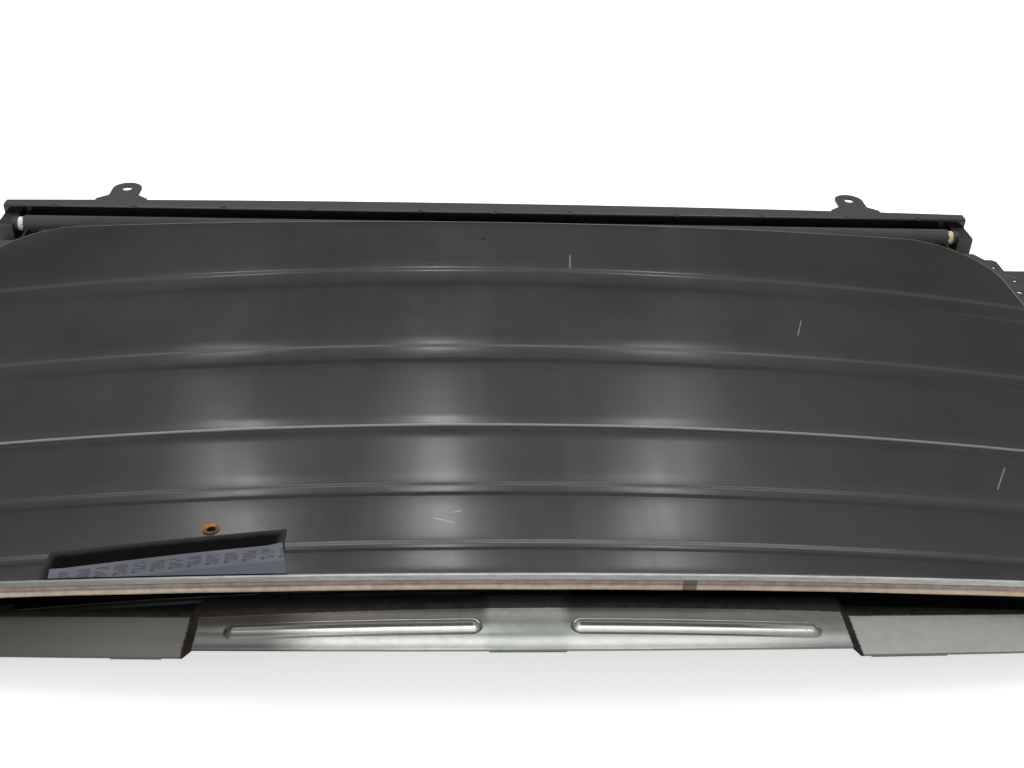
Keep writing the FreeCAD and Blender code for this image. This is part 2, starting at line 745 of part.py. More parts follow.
def blind_cloth():
    """The stretch of cloth between the roller and the pull bar."""
    low = blind_slot_low + gap + pull_bar_height - cloth_thickness - pull_bar_floor
    end_z = roller_z - cloth_radius - gap - cloth_thickness
    near = pull_bar_far + gap
    top = cloth_thickness
    corners = [(near, low), (roller_y, end_z), (roller_y, end_z + top), (near, low + top)]
    section = [vec(-cloth_half, y, z) for y, z in corners]
    half = rail_inner - blind_margin
    sheet = polygon(section).extrude(AXIS_X * 2 * cloth_half)
    return sheet.common(block(-half, half, 0, module_length, 0, lid_top))


def carriage():
    """The right-hand carriage: a bar in the track with an ear for each pivot."""
    x0, x1 = track_middle - carriage_plate / 2, track_middle + carriage_plate / 2
    low, high = track_low + carriage_room, track_high - carriage_room
    near = pivot_y - shoe_length / 2
    far = lever_pivot_y + shoe_length / 2
    pieces = [block(x0, x1, near, far, low, high)]
    for y, z, r in ((pivot_y, pivot_z, ear_round), (lever_pivot_y, lever_pivot_z, lever_ear_round)):
        pieces.append(block(x0, x1, y - r, y + r, low, z))
        pieces.append(rod(r, vec(x0, y, z), vec(x1, y, z)))
    body = fused(pieces)
    for y, z, r in ((pivot_y, pivot_z, pivot_radius), (lever_pivot_y, lever_pivot_z, lever_pivot_radius)):
        body = body.cut(rod(r, vec(x0 - 1, y, z), vec(x1 + 1, y, z)))
    return body


def shoe(y_middle):
    """A plastic shoe that fills the track round the carriage's bar."""
    x0 = track_middle - track_width / 2 + gap
    x1 = track_middle + track_width / 2 - gap
    body = block(x0, x1, y_middle - shoe_length / 2, y_middle + shoe_length / 2,
                 track_low + gap, track_high - gap)
    slit = block(track_middle - carriage_plate / 2, track_middle + carriage_plate / 2, -module_length,
                 module_length, track_low + carriage_room, rail_top)
    return body.cut(slit)


def pivot_pins():
    """The front pivot pins, headed on the outside of the lid brackets."""
    start = vec(track_middle - carriage_plate / 2, pivot_y, pivot_z)
    head_start = vec(track_middle + bracket_offset + bracket_plate + gap, pivot_y, pivot_z)
    head_end = head_start + AXIS_X * head_height
    right = rod(pivot_radius, start, head_end).fuse(rod(pivot_radius + head_margin, head_start, head_end))
    return both_sides([right.removeSplitter()])


def lever_pivots():
    """The levers' pivots, headed on the inside."""
    end = vec(track_middle + carriage_plate / 2, lever_pivot_y, lever_pivot_z)
    head_end = end - AXIS_X * (carriage_plate + 2 * gap + lever_plate)
    head_start = head_end - AXIS_X * head_height
    head = rod(lever_pivot_radius + head_margin, head_start, head_end)
    return both_sides([rod(lever_pivot_radius, head_start, end).fuse(head).removeSplitter()])


def lift_lever():
    """The right-hand lifting lever, with the pin that runs in the lid bracket's slot."""
    outer = track_middle - carriage_plate / 2 - gap
    inner = outer - lever_plate
    start = vec(inner, lever_pivot_y, lever_pivot_z)
    end = vec(inner, slot_y, pivot_z)
    direction = (end - start).normalize()
    side = vec(0, -direction.z, direction.y) * lever_half
    bar = polygon([start + side, end + side, end - side, start - side]).extrude(AXIS_X * lever_plate)
    pieces = [bar]
    for p in (start, end):
        pieces.append(rod(lever_half, p, p + AXIS_X * lever_plate))
    pin_end = track_middle + bracket_offset + bracket_plate + 1.0
    pieces.append(rod(lever_pin_radius, end, vec(pin_end, slot_y, pivot_z)))
    bore = rod(lever_pivot_radius + pin_gap, start - AXIS_X, start + AXIS_X * (lever_plate + 1))
    return fused(pieces).cut(bore)


def drive_pinion():
    """A cable pinion with teeth all round, on a shaft through the crossmember's floor."""
    low = arch_rise + steel + pinion_lift
    points = []
    for i in range(pinion_teeth):
        for radius, share in ((pinion_root, 0.0), (pinion_root, 0.4), (pinion_tip, 0.55), (pinion_tip, 0.85)):
            angle = 2 * math.pi * (i + share) / pinion_teeth
            points.append(vec(radius * math.cos(angle), pinion_y + radius * math.sin(angle), low))
    toothed = polygon(points).extrude(vec(0, 0, pinion_height))
    shaft_low = arch_rise - gap - pinion_shaft_depth
    shaft = Part.makeCylinder(pinion_shaft, low + pinion_height - shaft_low, vec(0, pinion_y, shaft_low))
    return fused([toothed, shaft])


def cable_guide():
    """The plastic block on the crossmember's floor that leads the cables past the pinion."""
    floor = arch_rise + steel
    reach = pinion_pitch + guide_margin
    body = block(-guide_half, guide_half, pinion_y - reach, pinion_y + reach,
                 floor + gap, floor + guide_height)
    well = Part.makeCylinder(pinion_tip + 2 * gap, lid_top, vec(0, pinion_y, floor - 1))
    body = body.cut(well)
    z = arch_rise + steel + cable_tube_rise
    for y in (pinion_y - pinion_pitch, pinion_y + pinion_pitch):
        body = body.cut(rod(cable_bore, vec(-guide_half - 1, y, z), vec(guide_half + 1, y, z)))
    return body


def cable_tube(side):
    """A steel guide tube that follows the arch from the pinion to a corner guide."""
    centre = vec(0, 0, arch_rise - arch_radius)
    swept = arch_radius + steel + cable_tube_rise
    y = pinion_y + side * pinion_pitch
    start = math.degrees(math.asin((guide_half + gap) / swept))
    end = math.degrees(math.asin((rail_inner - gap) / swept))
    pieces = []
    for radius in (cable_tube_radius, cable_bore):
        corners = []
        for i in range(tube_sides):
            angle = 2 * math.pi * i / tube_sides
            corners.append(vec(0, y + radius * math.cos(angle), centre.z + swept + radius * math.sin(angle)))
        ring = polygon(corners)
        ring.rotate(centre, AXIS_Y, side * start)
        pieces.append(ring.revolve(centre, AXIS_Y, side * (end - start)))
    return pieces[0].cut(pieces[1])


def corner_guide():
    """The moulded corner at the rail's front end, which turns the cable into the rail."""
    near = bowed(flange_back, rail_outer, near_bow) + gap
    body = block(rail_inner, rail_outer, near, rail_near, steel, corner_guide_height)
    swept = arch_radius + steel + cable_tube_rise
    z = arch_rise - arch_radius + math.sqrt(swept ** 2 - rail_inner ** 2)
    for y in (pinion_y - pinion_pitch, pinion_y + pinion_pitch):
        body = body.cut(rod(cable_bore, vec(rail_inner - 1, y, z), vec(rail_inner + corner_bore, y, z)))
    pocket = block(rail_inner + corner_wall, rail_outer - corner_wall, near + corner_wall,
                   rail_near - corner_wall, corner_guide_height - corner_pocket_depth,
                   corner_guide_height + 1)
    return body.cut(pocket)


def tube_clips():
    """Plastic saddles that hold the guide tubes down on the crossmember's floor."""
    centre = vec(0, 0, arch_rise - arch_radius)
    low = arch_rise + steel + gap
    tube_z = arch_rise + steel + cable_tube_rise
    half = cable_tube_radius + clip_wall
    clips = []
    for side in (-1, 1):
        y = pinion_y + side * pinion_pitch
        for x in [clip_pitch * (i + 1) for i in range(clip_count)]:
            saddle = block(-clip_length / 2, clip_length / 2, y - half, y + half, low, tube_z + half)
            hole = rod(cable_tube_radius + pin_gap, vec(-clip_length, y, tube_z), vec(clip_length, y, tube_z))
            saddle = saddle.cut(hole)
            angle = math.degrees(math.asin(x / arch_radius))
            saddle.rotate(centre, AXIS_Y, side * angle)
            clips.append(saddle)
    return Part.makeCompound(clips)


def gearbox():
    """The drive's housing under the crossmember's floor, with the pinion shaft's bore."""
    high = gearbox_top
    near = pinion_y - gearbox_depth / 2
    body = block(-gearbox_half, gearbox_half, near, near + gearbox_depth, high - gearbox_height, high)
    body = body.makeFillet(gearbox_corner, vertical_edges(body))
    bore = Part.makeCylinder(pinion_shaft + pin_gap, lid_top, vec(0, pinion_y, high - pinion_shaft_depth - 1))
    return body.cut(bore)


def gearbox_cover():
    high = gearbox_top - gearbox_height
    half = gearbox_half - cover_inset
    reach = gearbox_depth / 2 - cover_inset
    body = block(-half, half, pinion_y - reach, pinion_y + reach, high - cover_height, high)
    return body.makeFillet(gearbox_corner - cover_inset, vertical_edges(body))


def motor_can():
    arch_drop = arch_radius - math.sqrt(arch_radius ** 2 - (gearbox_half + motor_length) ** 2)
    start = vec(-gearbox_half, pinion_y, arch_rise - arch_drop - motor_clearance - motor_radius)
    end = start - AXIS_X * motor_length
    boss = rod(motor_boss, end - AXIS_X * cover_height, end)
    return rod(motor_radius, end, start).fuse(boss).removeSplitter()


def connector_socket():
    """The drive's wiring socket, open to the right, with three flat pins."""
    z = gearbox_top - gearbox_height / 2
    start, end = gearbox_half, gearbox_half + socket_length
    shell = block(start, end, pinion_y - socket_half, pinion_y + socket_half,
                  z - socket_half_height, z + socket_half_height)
    reach, rise = socket_half - socket_wall, socket_half_height - socket_wall
    hollow = block(start + socket_floor, end + 1, pinion_y - reach, pinion_y + reach, z - rise, z + rise)
    pins = []
    for y in (pinion_y - socket_pin_spacing, pinion_y, pinion_y + socket_pin_spacing):
        pins.append(block(start + 1, end - 2 * socket_floor, y - socket_pin / 2, y + socket_pin / 2,
                          z - socket_pin / 2, z + socket_pin / 2))
    return fused([shell.cut(hollow)] + pins)


def both_sides(shapes):
    return Part.makeCompound(shapes + [mirrored(s) for s in shapes])


def end_stops():
    x0 = track_middle - track_width / 2 + gap
    x1 = track_middle + track_width / 2 - gap
    stop = block(x0, x1, rail_far - stop_length, rail_far, track_low + gap, track_high - gap)
    return both_sides([stop])


lid_skins()
lid_inner_pieces()
lid_front_edge()
bush_and_label()
save("threaded_bush", threaded_bush())
save_pair("lid_bracket", lid_bracket())
save_pair("side_rail", side_rail())
save_pair("side_plate", side_plate())
save("rear_crossmember", rear_crossmember())
save("front_crossmember", front_crossmember())
save_pair("roller_holder", roller_holder())
save_pair("roller_bush", roller_bush())
roller_pieces()
save("pull_bar", pull_bar())
save_pair("pull_bar_glide", pull_bar_glide())
save("blind_cloth", blind_cloth())
save_pair("carriage", carriage())
save_pair("front_shoe", shoe(pivot_y))
save_pair("rear_shoe", shoe(lever_pivot_y))
save("pivot_pins", pivot_pins())
save("lever_pivots", lever_pivots())
save_pair("lift_lever", lift_lever())
save("drive_pinion", drive_pinion())
save("cable_guide", cable_guide())
save("cable_tube_right", cable_tube(1))
save("cable_tube_left", cable_tube(-1))
save_pair("corner_guide", corner_guide())
save("gearbox_housing", gearbox())
save("gearbox_cover", gearbox_cover())
save("motor_can", motor_can())
save("connector_socket", connector_socket())
save("end_stops", end_stops())
save("tube_clips", tube_clips())
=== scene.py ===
import json
import math
import bpy
import bmesh
from mathutils import Matrix, Vector


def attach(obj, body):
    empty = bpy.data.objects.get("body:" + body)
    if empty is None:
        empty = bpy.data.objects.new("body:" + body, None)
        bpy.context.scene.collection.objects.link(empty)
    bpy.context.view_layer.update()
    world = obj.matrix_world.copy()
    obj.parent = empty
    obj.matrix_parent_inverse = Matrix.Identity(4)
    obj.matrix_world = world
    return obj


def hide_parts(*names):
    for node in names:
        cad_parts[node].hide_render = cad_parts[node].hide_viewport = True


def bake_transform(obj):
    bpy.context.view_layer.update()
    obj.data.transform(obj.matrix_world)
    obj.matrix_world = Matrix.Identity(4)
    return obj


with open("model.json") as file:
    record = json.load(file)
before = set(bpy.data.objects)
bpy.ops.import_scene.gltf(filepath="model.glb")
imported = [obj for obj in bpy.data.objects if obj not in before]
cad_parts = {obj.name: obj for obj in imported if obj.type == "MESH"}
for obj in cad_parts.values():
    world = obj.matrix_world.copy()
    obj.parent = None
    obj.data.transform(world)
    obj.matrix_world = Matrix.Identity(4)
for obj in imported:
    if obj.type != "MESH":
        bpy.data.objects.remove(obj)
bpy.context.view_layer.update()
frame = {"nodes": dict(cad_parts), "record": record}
NODES = frame["nodes"]

# Lid, in metres; the same sizes as in the part's source
LID_HALF = 0.4445
LID_TOP = 0.071
LID_NEAR, LID_FAR = -0.288, 0.166
CROWN = 3.174
NEAR_BOW, FAR_BOW = 5.256, 2.817
CORNER = 0.066
SKIN, ROLL = 0.0015, 0.0011
PARTING, PARTING_WIDTH = -0.1447, 0.0046
LIP, LIP_HALF = 0.0015, 0.374
# Each groove: middle, near wall, floor, far wall, depth
REAR_GROOVES = [(-0.0528, 0.0094, 0.0138, 0.0037, 0.0012), (0.0641, 0.0123, 0.0163, 0.0056, 0.0012)]
FRONT_GROOVES = [(-0.2621, 0.0046, 0.0022, 0.0032, 0.0012), (-0.2104, 0.0057, 0.0059, 0.0022, 0.0012)]
BUSH_X, BUSH_Y, BUSH_RADIUS = -0.181, -0.243, 0.0036
# The painted shadow patch's and the label's far edges run from the left to the right point
SHADOW_PATCH_FAR = ((-0.2700, -0.2572), (-0.1370, -0.2462))
LABEL_FAR = ((-0.2657, -0.2726), (-0.1377, -0.2598))
LABEL_NEAR_X = (-0.2650, -0.1325)

# Fixed frame, in metres
FRONT_EDGE, FRONT_BOW, FLANGE_DEPTH = -0.326, 2.6, 0.032
FLANGE_TOP, FLANGE_STEP, FIELD, STEP_RUN = 0.052, 0.006, 0.1805, 0.006
BEAD_Y, BEAD_MIDDLE, BEAD_REACH = -0.308, 0.095, 0.0645
FOLD_Y, FOLD_Z = 0.271, 0.0315
ROLLER_Y, ROLLER_Z, CLOTH_RADIUS, CLOTH_HALF = 0.256, 0.019, 0.00825, 0.441
PLATE_Z = 0.022
PINION_Y, ARCH_RISE, ARCH_RADIUS = -0.254, 0.027, 2.54905
TUBE_RISE, TUBE_RADIUS, TUBE_OFFSET = 0.0065, 0.003, 0.008
WELDS = (-0.417, -0.343, -0.259, -0.175, -0.072, 0.0, 0.072, 0.176, 0.259, 0.344, 0.415)

# Camera, as the photograph was taken, and the studio
CAMERA_PLACE, LENS, SENSOR = (-0.045, -0.788, 0.522), 42.19, 36.0
CAMERA_FORWARD, CAMERA_RIGHT = (0.0542, 0.8375, -0.5439), (0.99849556, -0.04090351, 0.03651732)
FLOOR_REACH, FLOOR_Z = 6.0, -0.0005
# Each lamp: name, place, aimed at, width and height, power
LAMPS = [("overhead", (0.0, -0.2, 2.6), (0, 0, 0), (2.6, 2.0), 26),
         ("overhead_tube", (0.0, -0.1, 2.4), (0, 0, 0), (3.0, 0.10), 12),
         ("from_camera_side", (-0.9, -2.4, 1.8), (0, 0, 0), (2.0, 1.2), 13)]
for strip, strip_x, strip_width, high_power, low_power in (("left", -1.06, 0.14, 3.7, 0.35),
                                                           ("middle", -0.145, 0.08, 4.4, 0.3),
                                                           ("right", 0.87, 0.22, 4.2, 0.4)):
    for level, strip_z, strip_height, power in (("high", 2.55, 0.8, high_power),
                                                ("low", 1.95, 0.3, low_power)):
        LAMPS.append((f"strip_{strip}_{level}", (strip_x, 2.5, strip_z), (strip_x, -0.1, 0.0),
                      (strip_width, strip_height), power))


# Shader helper
class Shader:
    """One material, and short calls that add nodes to it."""

    def __init__(self, name):
        self.mat = bpy.data.materials.new(name)
        self.mat.use_nodes = True
        self.tree = self.mat.node_tree
        self.bsdf = self.tree.nodes["Principled BSDF"]
        self.where = self.tree.nodes.new("ShaderNodeTexCoord").outputs["Object"]

    def put(self, kind, values=(), **settings):
        node = self.tree.nodes.new(kind)
        for key, value in settings.items():
            setattr(node, key, value)
        for key, value in dict(values).items():
            self.give(node.inputs[key], value)
        return node

    def give(self, socket, value):
        if isinstance(value, bpy.types.NodeSocket):
            self.tree.links.new(value, socket)
        elif value is not None:
            if isinstance(value, (tuple, list)) and len(value) == 3 and len(socket.default_value) == 4:
                value = tuple(value) + (1.0,)
            socket.default_value = value

    def sum(self, operation, a, b=None, clamp=False):
        node = self.put("ShaderNodeMath", operation=operation, use_clamp=clamp)
        for index, value in enumerate((a, b)):
            if value is not None:
                self.give(node.inputs[index], value)
        return node.outputs[0]

    def reach(self, a, b):
        """Distance of a point that is a along and b across."""
        squares = self.sum("ADD", self.sum("MULTIPLY", a, a), self.sum("MULTIPLY", b, b))
        return self.sum("SQRT", squares)

    def axes(self):
        split = self.put("ShaderNodeSeparateXYZ", {"Vector": self.where})
        return split.outputs["X"], split.outputs["Y"], split.outputs["Z"]

    def upward(self):
        """The Z part of the surface's direction: 1 on top, 0 on an upright face."""
        normal = self.put("ShaderNodeNewGeometry").outputs["Normal"]
        return self.put("ShaderNodeSeparateXYZ", {"Vector": normal}).outputs["Z"]

    def crowned(self, x, z):
        """Height below the lid's crown, taken out of the crown's curve."""
        return self.sum("ADD", z, self.sum("MULTIPLY", self.sum("MULTIPLY", x, x), 1 / (2 * CROWN)))

    def from_edge(self, x, y):
        """Distance of a point on the lid from its far edge, sides and far corners."""
        side = self.sum("ABSOLUTE", x)
        bowed = self.sum("MULTIPLY", self.sum("MULTIPLY", x, x), 1 / (2 * FAR_BOW))
        to_far = self.sum("SUBTRACT", self.sum("ADD", bowed, LID_FAR), y)
        to_side = self.sum("SUBTRACT", LID_HALF, side)
        centre_x = LID_HALF - CORNER
        slope = centre_x / FAR_BOW
        centre_y = LID_FAR + centre_x ** 2 / (2 * FAR_BOW) - CORNER * math.sqrt(1 + slope ** 2)
        a = self.sum("MAXIMUM", self.sum("SUBTRACT", side, centre_x), 0.0)
        b = self.sum("MAXIMUM", self.sum("SUBTRACT", y, centre_y), 0.0)
        beyond = self.sum("MULTIPLY", self.sum("GREATER_THAN", a, 0.0), self.sum("GREATER_THAN", b, 0.0))
        to_corner = self.sum("SUBTRACT", CORNER, self.reach(a, b))
        to_corner = self.sum("ADD", to_corner, self.sum("SUBTRACT", 1.0, beyond))
        return self.sum("MINIMUM", self.sum("MINIMUM", to_far, to_side), to_corner)

    def ramp(self, value, stops):
        node = self.put("ShaderNodeValToRGB", {"Fac": value})
        elements = node.color_ramp.elements
        elements[0].position, elements[-1].position = stops[0][0], stops[-1][0]
        elements[0].color = tuple(stops[0][1]) + (1.0,)
        elements[-1].color = tuple(stops[-1][1]) + (1.0,)
        for place, colour in stops[1:-1]:
            elements.new(place).color = tuple(colour) + (1.0,)
        return node.outputs["Color"]

    def stretched(self, scale):
        return self.put("ShaderNodeMapping", {"Vector": self.where, "Scale": scale}).outputs[0]

    def noise(self, scale, detail=3.0, stretch=None, roughness=0.55):
        source = self.where if stretch is None else self.stretched(stretch)
        node = self.put("ShaderNodeTexNoise", {"Vector": source, "Scale": scale, "Detail": detail,
                                               "Roughness": roughness})
        return node.outputs["Fac"]

    def range(self, value, low, high, to_low=0.0, to_high=1.0):
        node = self.put("ShaderNodeMapRange", {"Value": value, "From Min": low, "From Max": high,
                                               "To Min": to_low, "To Max": to_high},
                        interpolation_type="SMOOTHSTEP")
        return node.outputs[0]

    def mix(self, factor, a, b):
        node = self.put("ShaderNodeMix", data_type="RGBA")
        self.give(node.inputs[0], factor)
        self.give(node.inputs[6], a)
        self.give(node.inputs[7], b)
        return node.outputs[2]

    def segment(self, start, end, width):
        """1 along a short line on the top side, 0 away from it."""
        x, y = self.axes()[:2]
        across = Vector((end[0] - start[0], end[1] - start[1]))
        length = max(across.length, 1e-6)
        ux, uy = across.x / length, across.y / length
        dx = self.sum("SUBTRACT", x, start[0])
        dy = self.sum("SUBTRACT", y, start[1])
        along = self.sum("ADD", self.sum("MULTIPLY", dx, ux), self.sum("MULTIPLY", dy, uy))
        side = self.sum("SUBTRACT", self.sum("MULTIPLY", dx, -uy), self.sum("MULTIPLY", dy, -ux))
        held = self.sum("MINIMUM", self.sum("MAXIMUM", along, 0.0), length)
        away = self.reach(side, self.sum("SUBTRACT", along, held))
        return self.range(away, width * 0.7, width * 1.3, 1.0, 0.0)

    def bump(self, height, distance, strength=1.0, under=None):
        values = {"Height": height, "Distance": distance, "Strength": strength}
        if under is not None:
            values["Normal"] = under
        return self.put("ShaderNodeBump", values).outputs[0]

    def surface(self, **values):
        names = {"color": "Base Color", "metal": "Metallic", "rough": "Roughness", "normal": "Normal",
                 "specular": "Specular IOR Level", "sheen": "Sheen Weight"}
        for key, value in values.items():
            self.give(self.bsdf.inputs[names[key]], value)
        return self.mat


def linear(*srgb):
    """A colour given as it looks on screen, 0 to 255, turned to the renderer's scale."""
    out = []
    for value in srgb:
        value = value / 255.0
        out.append(value / 12.92 if value <= 0.04045 else ((value + 0.055) / 1.055) ** 2.4)
    return tuple(out)


# Materials
def lid_satin():
    s = Shader("lid_satin")
    cloud = s.noise(7.0, 4.0)
    streak = s.noise(60.0, 3.0, (1.0, 0.06, 1.0))
    grain = s.noise(900.0, 2.0)
    base = s.mix(s.range(cloud, 0.3, 0.7), linear(47, 46, 46), linear(55, 54, 53))
    dust = s.range(s.noise(420.0, 2.0), 0.70, 0.78)
    base = s.mix(s.sum("MULTIPLY", dust, 0.2), base, linear(120, 118, 112))
    chip = s.segment((-0.0154, 0.1318), (-0.0152, 0.1320), 0.0016)
    base = s.mix(chip, base, linear(16, 15, 15))
    fine = s.range(s.noise(16.0, 6.0, (4.0, 0.35, 1.0), 0.65), 0.75, 0.77)
    scratches = s.segment((0.0565, 0.1051), (0.0545, 0.0817), 0.0005)
    for start, end in (((0.222, -0.010), (0.2305, 0.0135)), ((-0.052, -0.238), (-0.040, -0.243)),
                       ((-0.041, -0.233), (-0.036, -0.2315)), ((0.31, -0.19), (0.325, -0.165))):
        scratches = s.sum("MAXIMUM", scratches, s.segment(start, end, 0.0004))
    scratches = s.sum("MAXIMUM", scratches, s.sum("MULTIPLY", fine, 0.25))
    base = s.mix(s.sum("MULTIPLY", scratches, 0.6), base, linear(150, 148, 144))
    x, y = s.axes()[:2]
    # Painted highlight: a light line on the top face along the far edge, sides and corners and above the
    # parting line, for the light the rolled edges catch.
    rim = s.range(s.from_edge(x, y), 0.0009, 0.0019, 1.0, 0.0)
    parting_edge = PARTING + PARTING_WIDTH / 2 + 0.0006
    from_parting = s.sum("ABSOLUTE", s.sum("SUBTRACT", y, parting_edge))
    rim = s.sum("MAXIMUM", rim, s.range(from_parting, 0.0006, 0.0011, 0.75, 0.0))
    base = s.mix(s.sum("MULTIPLY", rim, 0.85), base, linear(142, 141, 138))
    rough = s.sum("ADD", s.range(streak, 0.3, 0.7, 0.185, 0.225),
                  s.range(cloud, 0.3, 0.7, -0.015, 0.015))
    normal = s.bump(grain, 0.00006, 0.4)
    return s.surface(color=base, rough=rough, normal=normal, specular=0.45)


def lid_rim():
    """Lighter grey along the rolled rim, a painted highlight for the light the rolled edge catches; a
    little metallic.
    """
    s = Shader("lid_rim")
    worn = s.noise(70.0, 4.0)
    base = s.mix(s.range(worn, 0.3, 0.7), linear(128, 126, 122), linear(96, 94, 91))
    return s.surface(color=base, rough=s.range(worn, 0.3, 0.7, 0.3, 0.45), metal=0.3,
                     normal=s.bump(worn, 0.0001, 0.3))


def bare_edge():
    """The light strip along the near edge, duller at the left."""
    s = Shader("bare_edge")
    x = s.axes()[0]
    worn = s.noise(90.0, 4.0, (1.0, 6.0, 6.0))
    base = s.mix(s.range(worn, 0.35, 0.7), linear(190, 191, 191), linear(168, 167, 164))
    base = s.mix(s.range(x, -0.30, -0.10, 0.7, 0.0), base, linear(106, 108, 110))
    rough = s.range(worn, 0.3, 0.7, 0.35, 0.5)
    return s.surface(color=base, rough=rough, metal=0.2, normal=s.bump(worn, 0.0001, 0.3))


def black_ecoat():
    """Dip-coated steel: glossy black on upright faces; faces that look up are painted grey, painted light
    for their lit tops.
    """
    s = Shader("black_ecoat")
    cloud = s.noise(16.0, 4.0)
    peel = s.noise(260.0, 2.0)
    fleck = s.noise(700.0, 2.0)
    # Painted light: faces that look up are painted grey, the tone their lit tops show.
    top = s.range(s.upward(), 0.93, 0.995)
    lit_top_grey = s.mix(s.range(fleck, 0.35, 0.7), linear(56, 55, 54), linear(70, 69, 67))
    base = s.mix(top, s.mix(s.range(cloud, 0.3, 0.7), linear(10, 10, 11), linear(18, 17, 17)), lit_top_grey)
    rough = s.sum("ADD", s.range(cloud, 0.3, 0.7, 0.10, 0.16), s.sum("MULTIPLY", top, 0.3))
    return s.surface(color=base, rough=rough, normal=s.bump(peel, 0.00005, 0.4))


def bead_marks(s, side, y):
    """Lines painted on the beads: dark at the near foot, partly grime in the foot and partly painted shade;
    a painted shade line on the wall; a painted highlight on the crest.
    """
    past_end = s.sum("SUBTRACT", s.sum("ABSOLUTE", s.sum("SUBTRACT", side, BEAD_MIDDLE)), BEAD_REACH)
    along = s.sum("MAXIMUM", past_end, 0.0)
    across = s.sum("SUBTRACT", y, BEAD_Y)
    ring = s.reach(along, across)
    foot = s.range(s.sum("ABSOLUTE", s.sum("SUBTRACT", ring, 0.0059)), 0.0003, 0.0008, 1.0, 0.0)
    foot = s.sum("MULTIPLY", foot, s.range(across, -0.002, 0.001, 0.75, 0.1))
    wall = s.range(s.reach(along, s.sum("ADD", across, 0.0008)), 0.0010, 0.0015, 0.95, 0.0)
    crest = s.range(s.sum("ABSOLUTE", s.sum("SUBTRACT", ring, 0.0042)), 0.0003, 0.0009, 1.0, 0.0)
    crest = s.sum("MULTIPLY", crest, s.range(across, 0.0005, 0.0016, 0.0, 0.9))
    return foot, wall, crest


def stain_and_shade_line(s, x, y, side, square, fine):
    """How far a point lies behind the torn edge of the brown band, and how much of it is covered; the band
    is partly real grime and partly painted shade.
    """
    torn = s.sum("MULTIPLY", s.sum("SUBTRACT", fine, 0.5), 0.0012)
    right_line = s.sum("ADD", s.sum("MULTIPLY", x, 0.0095), -0.2945)
    bent_line = s.sum("ADD", s.sum("MULTIPLY", square, 0.185), -0.2958)
    line = s.mix(s.range(side, FIELD, FIELD + 0.002), right_line, bent_line)
    over = s.sum("ADD", s.sum("SUBTRACT", y, line), torn)
    step = s.sum("ABSOLUTE", s.sum("SUBTRACT", side, FIELD + 0.0035))
    step = s.sum("ADD", step, s.sum("MULTIPLY", torn, 2.0))
    stain_and_shade = s.sum("MAXIMUM", s.range(over, -0.0006, 0.0006), s.range(step, 0.0030, 0.0042, 1.0, 0.0))
    return over, stain_and_shade


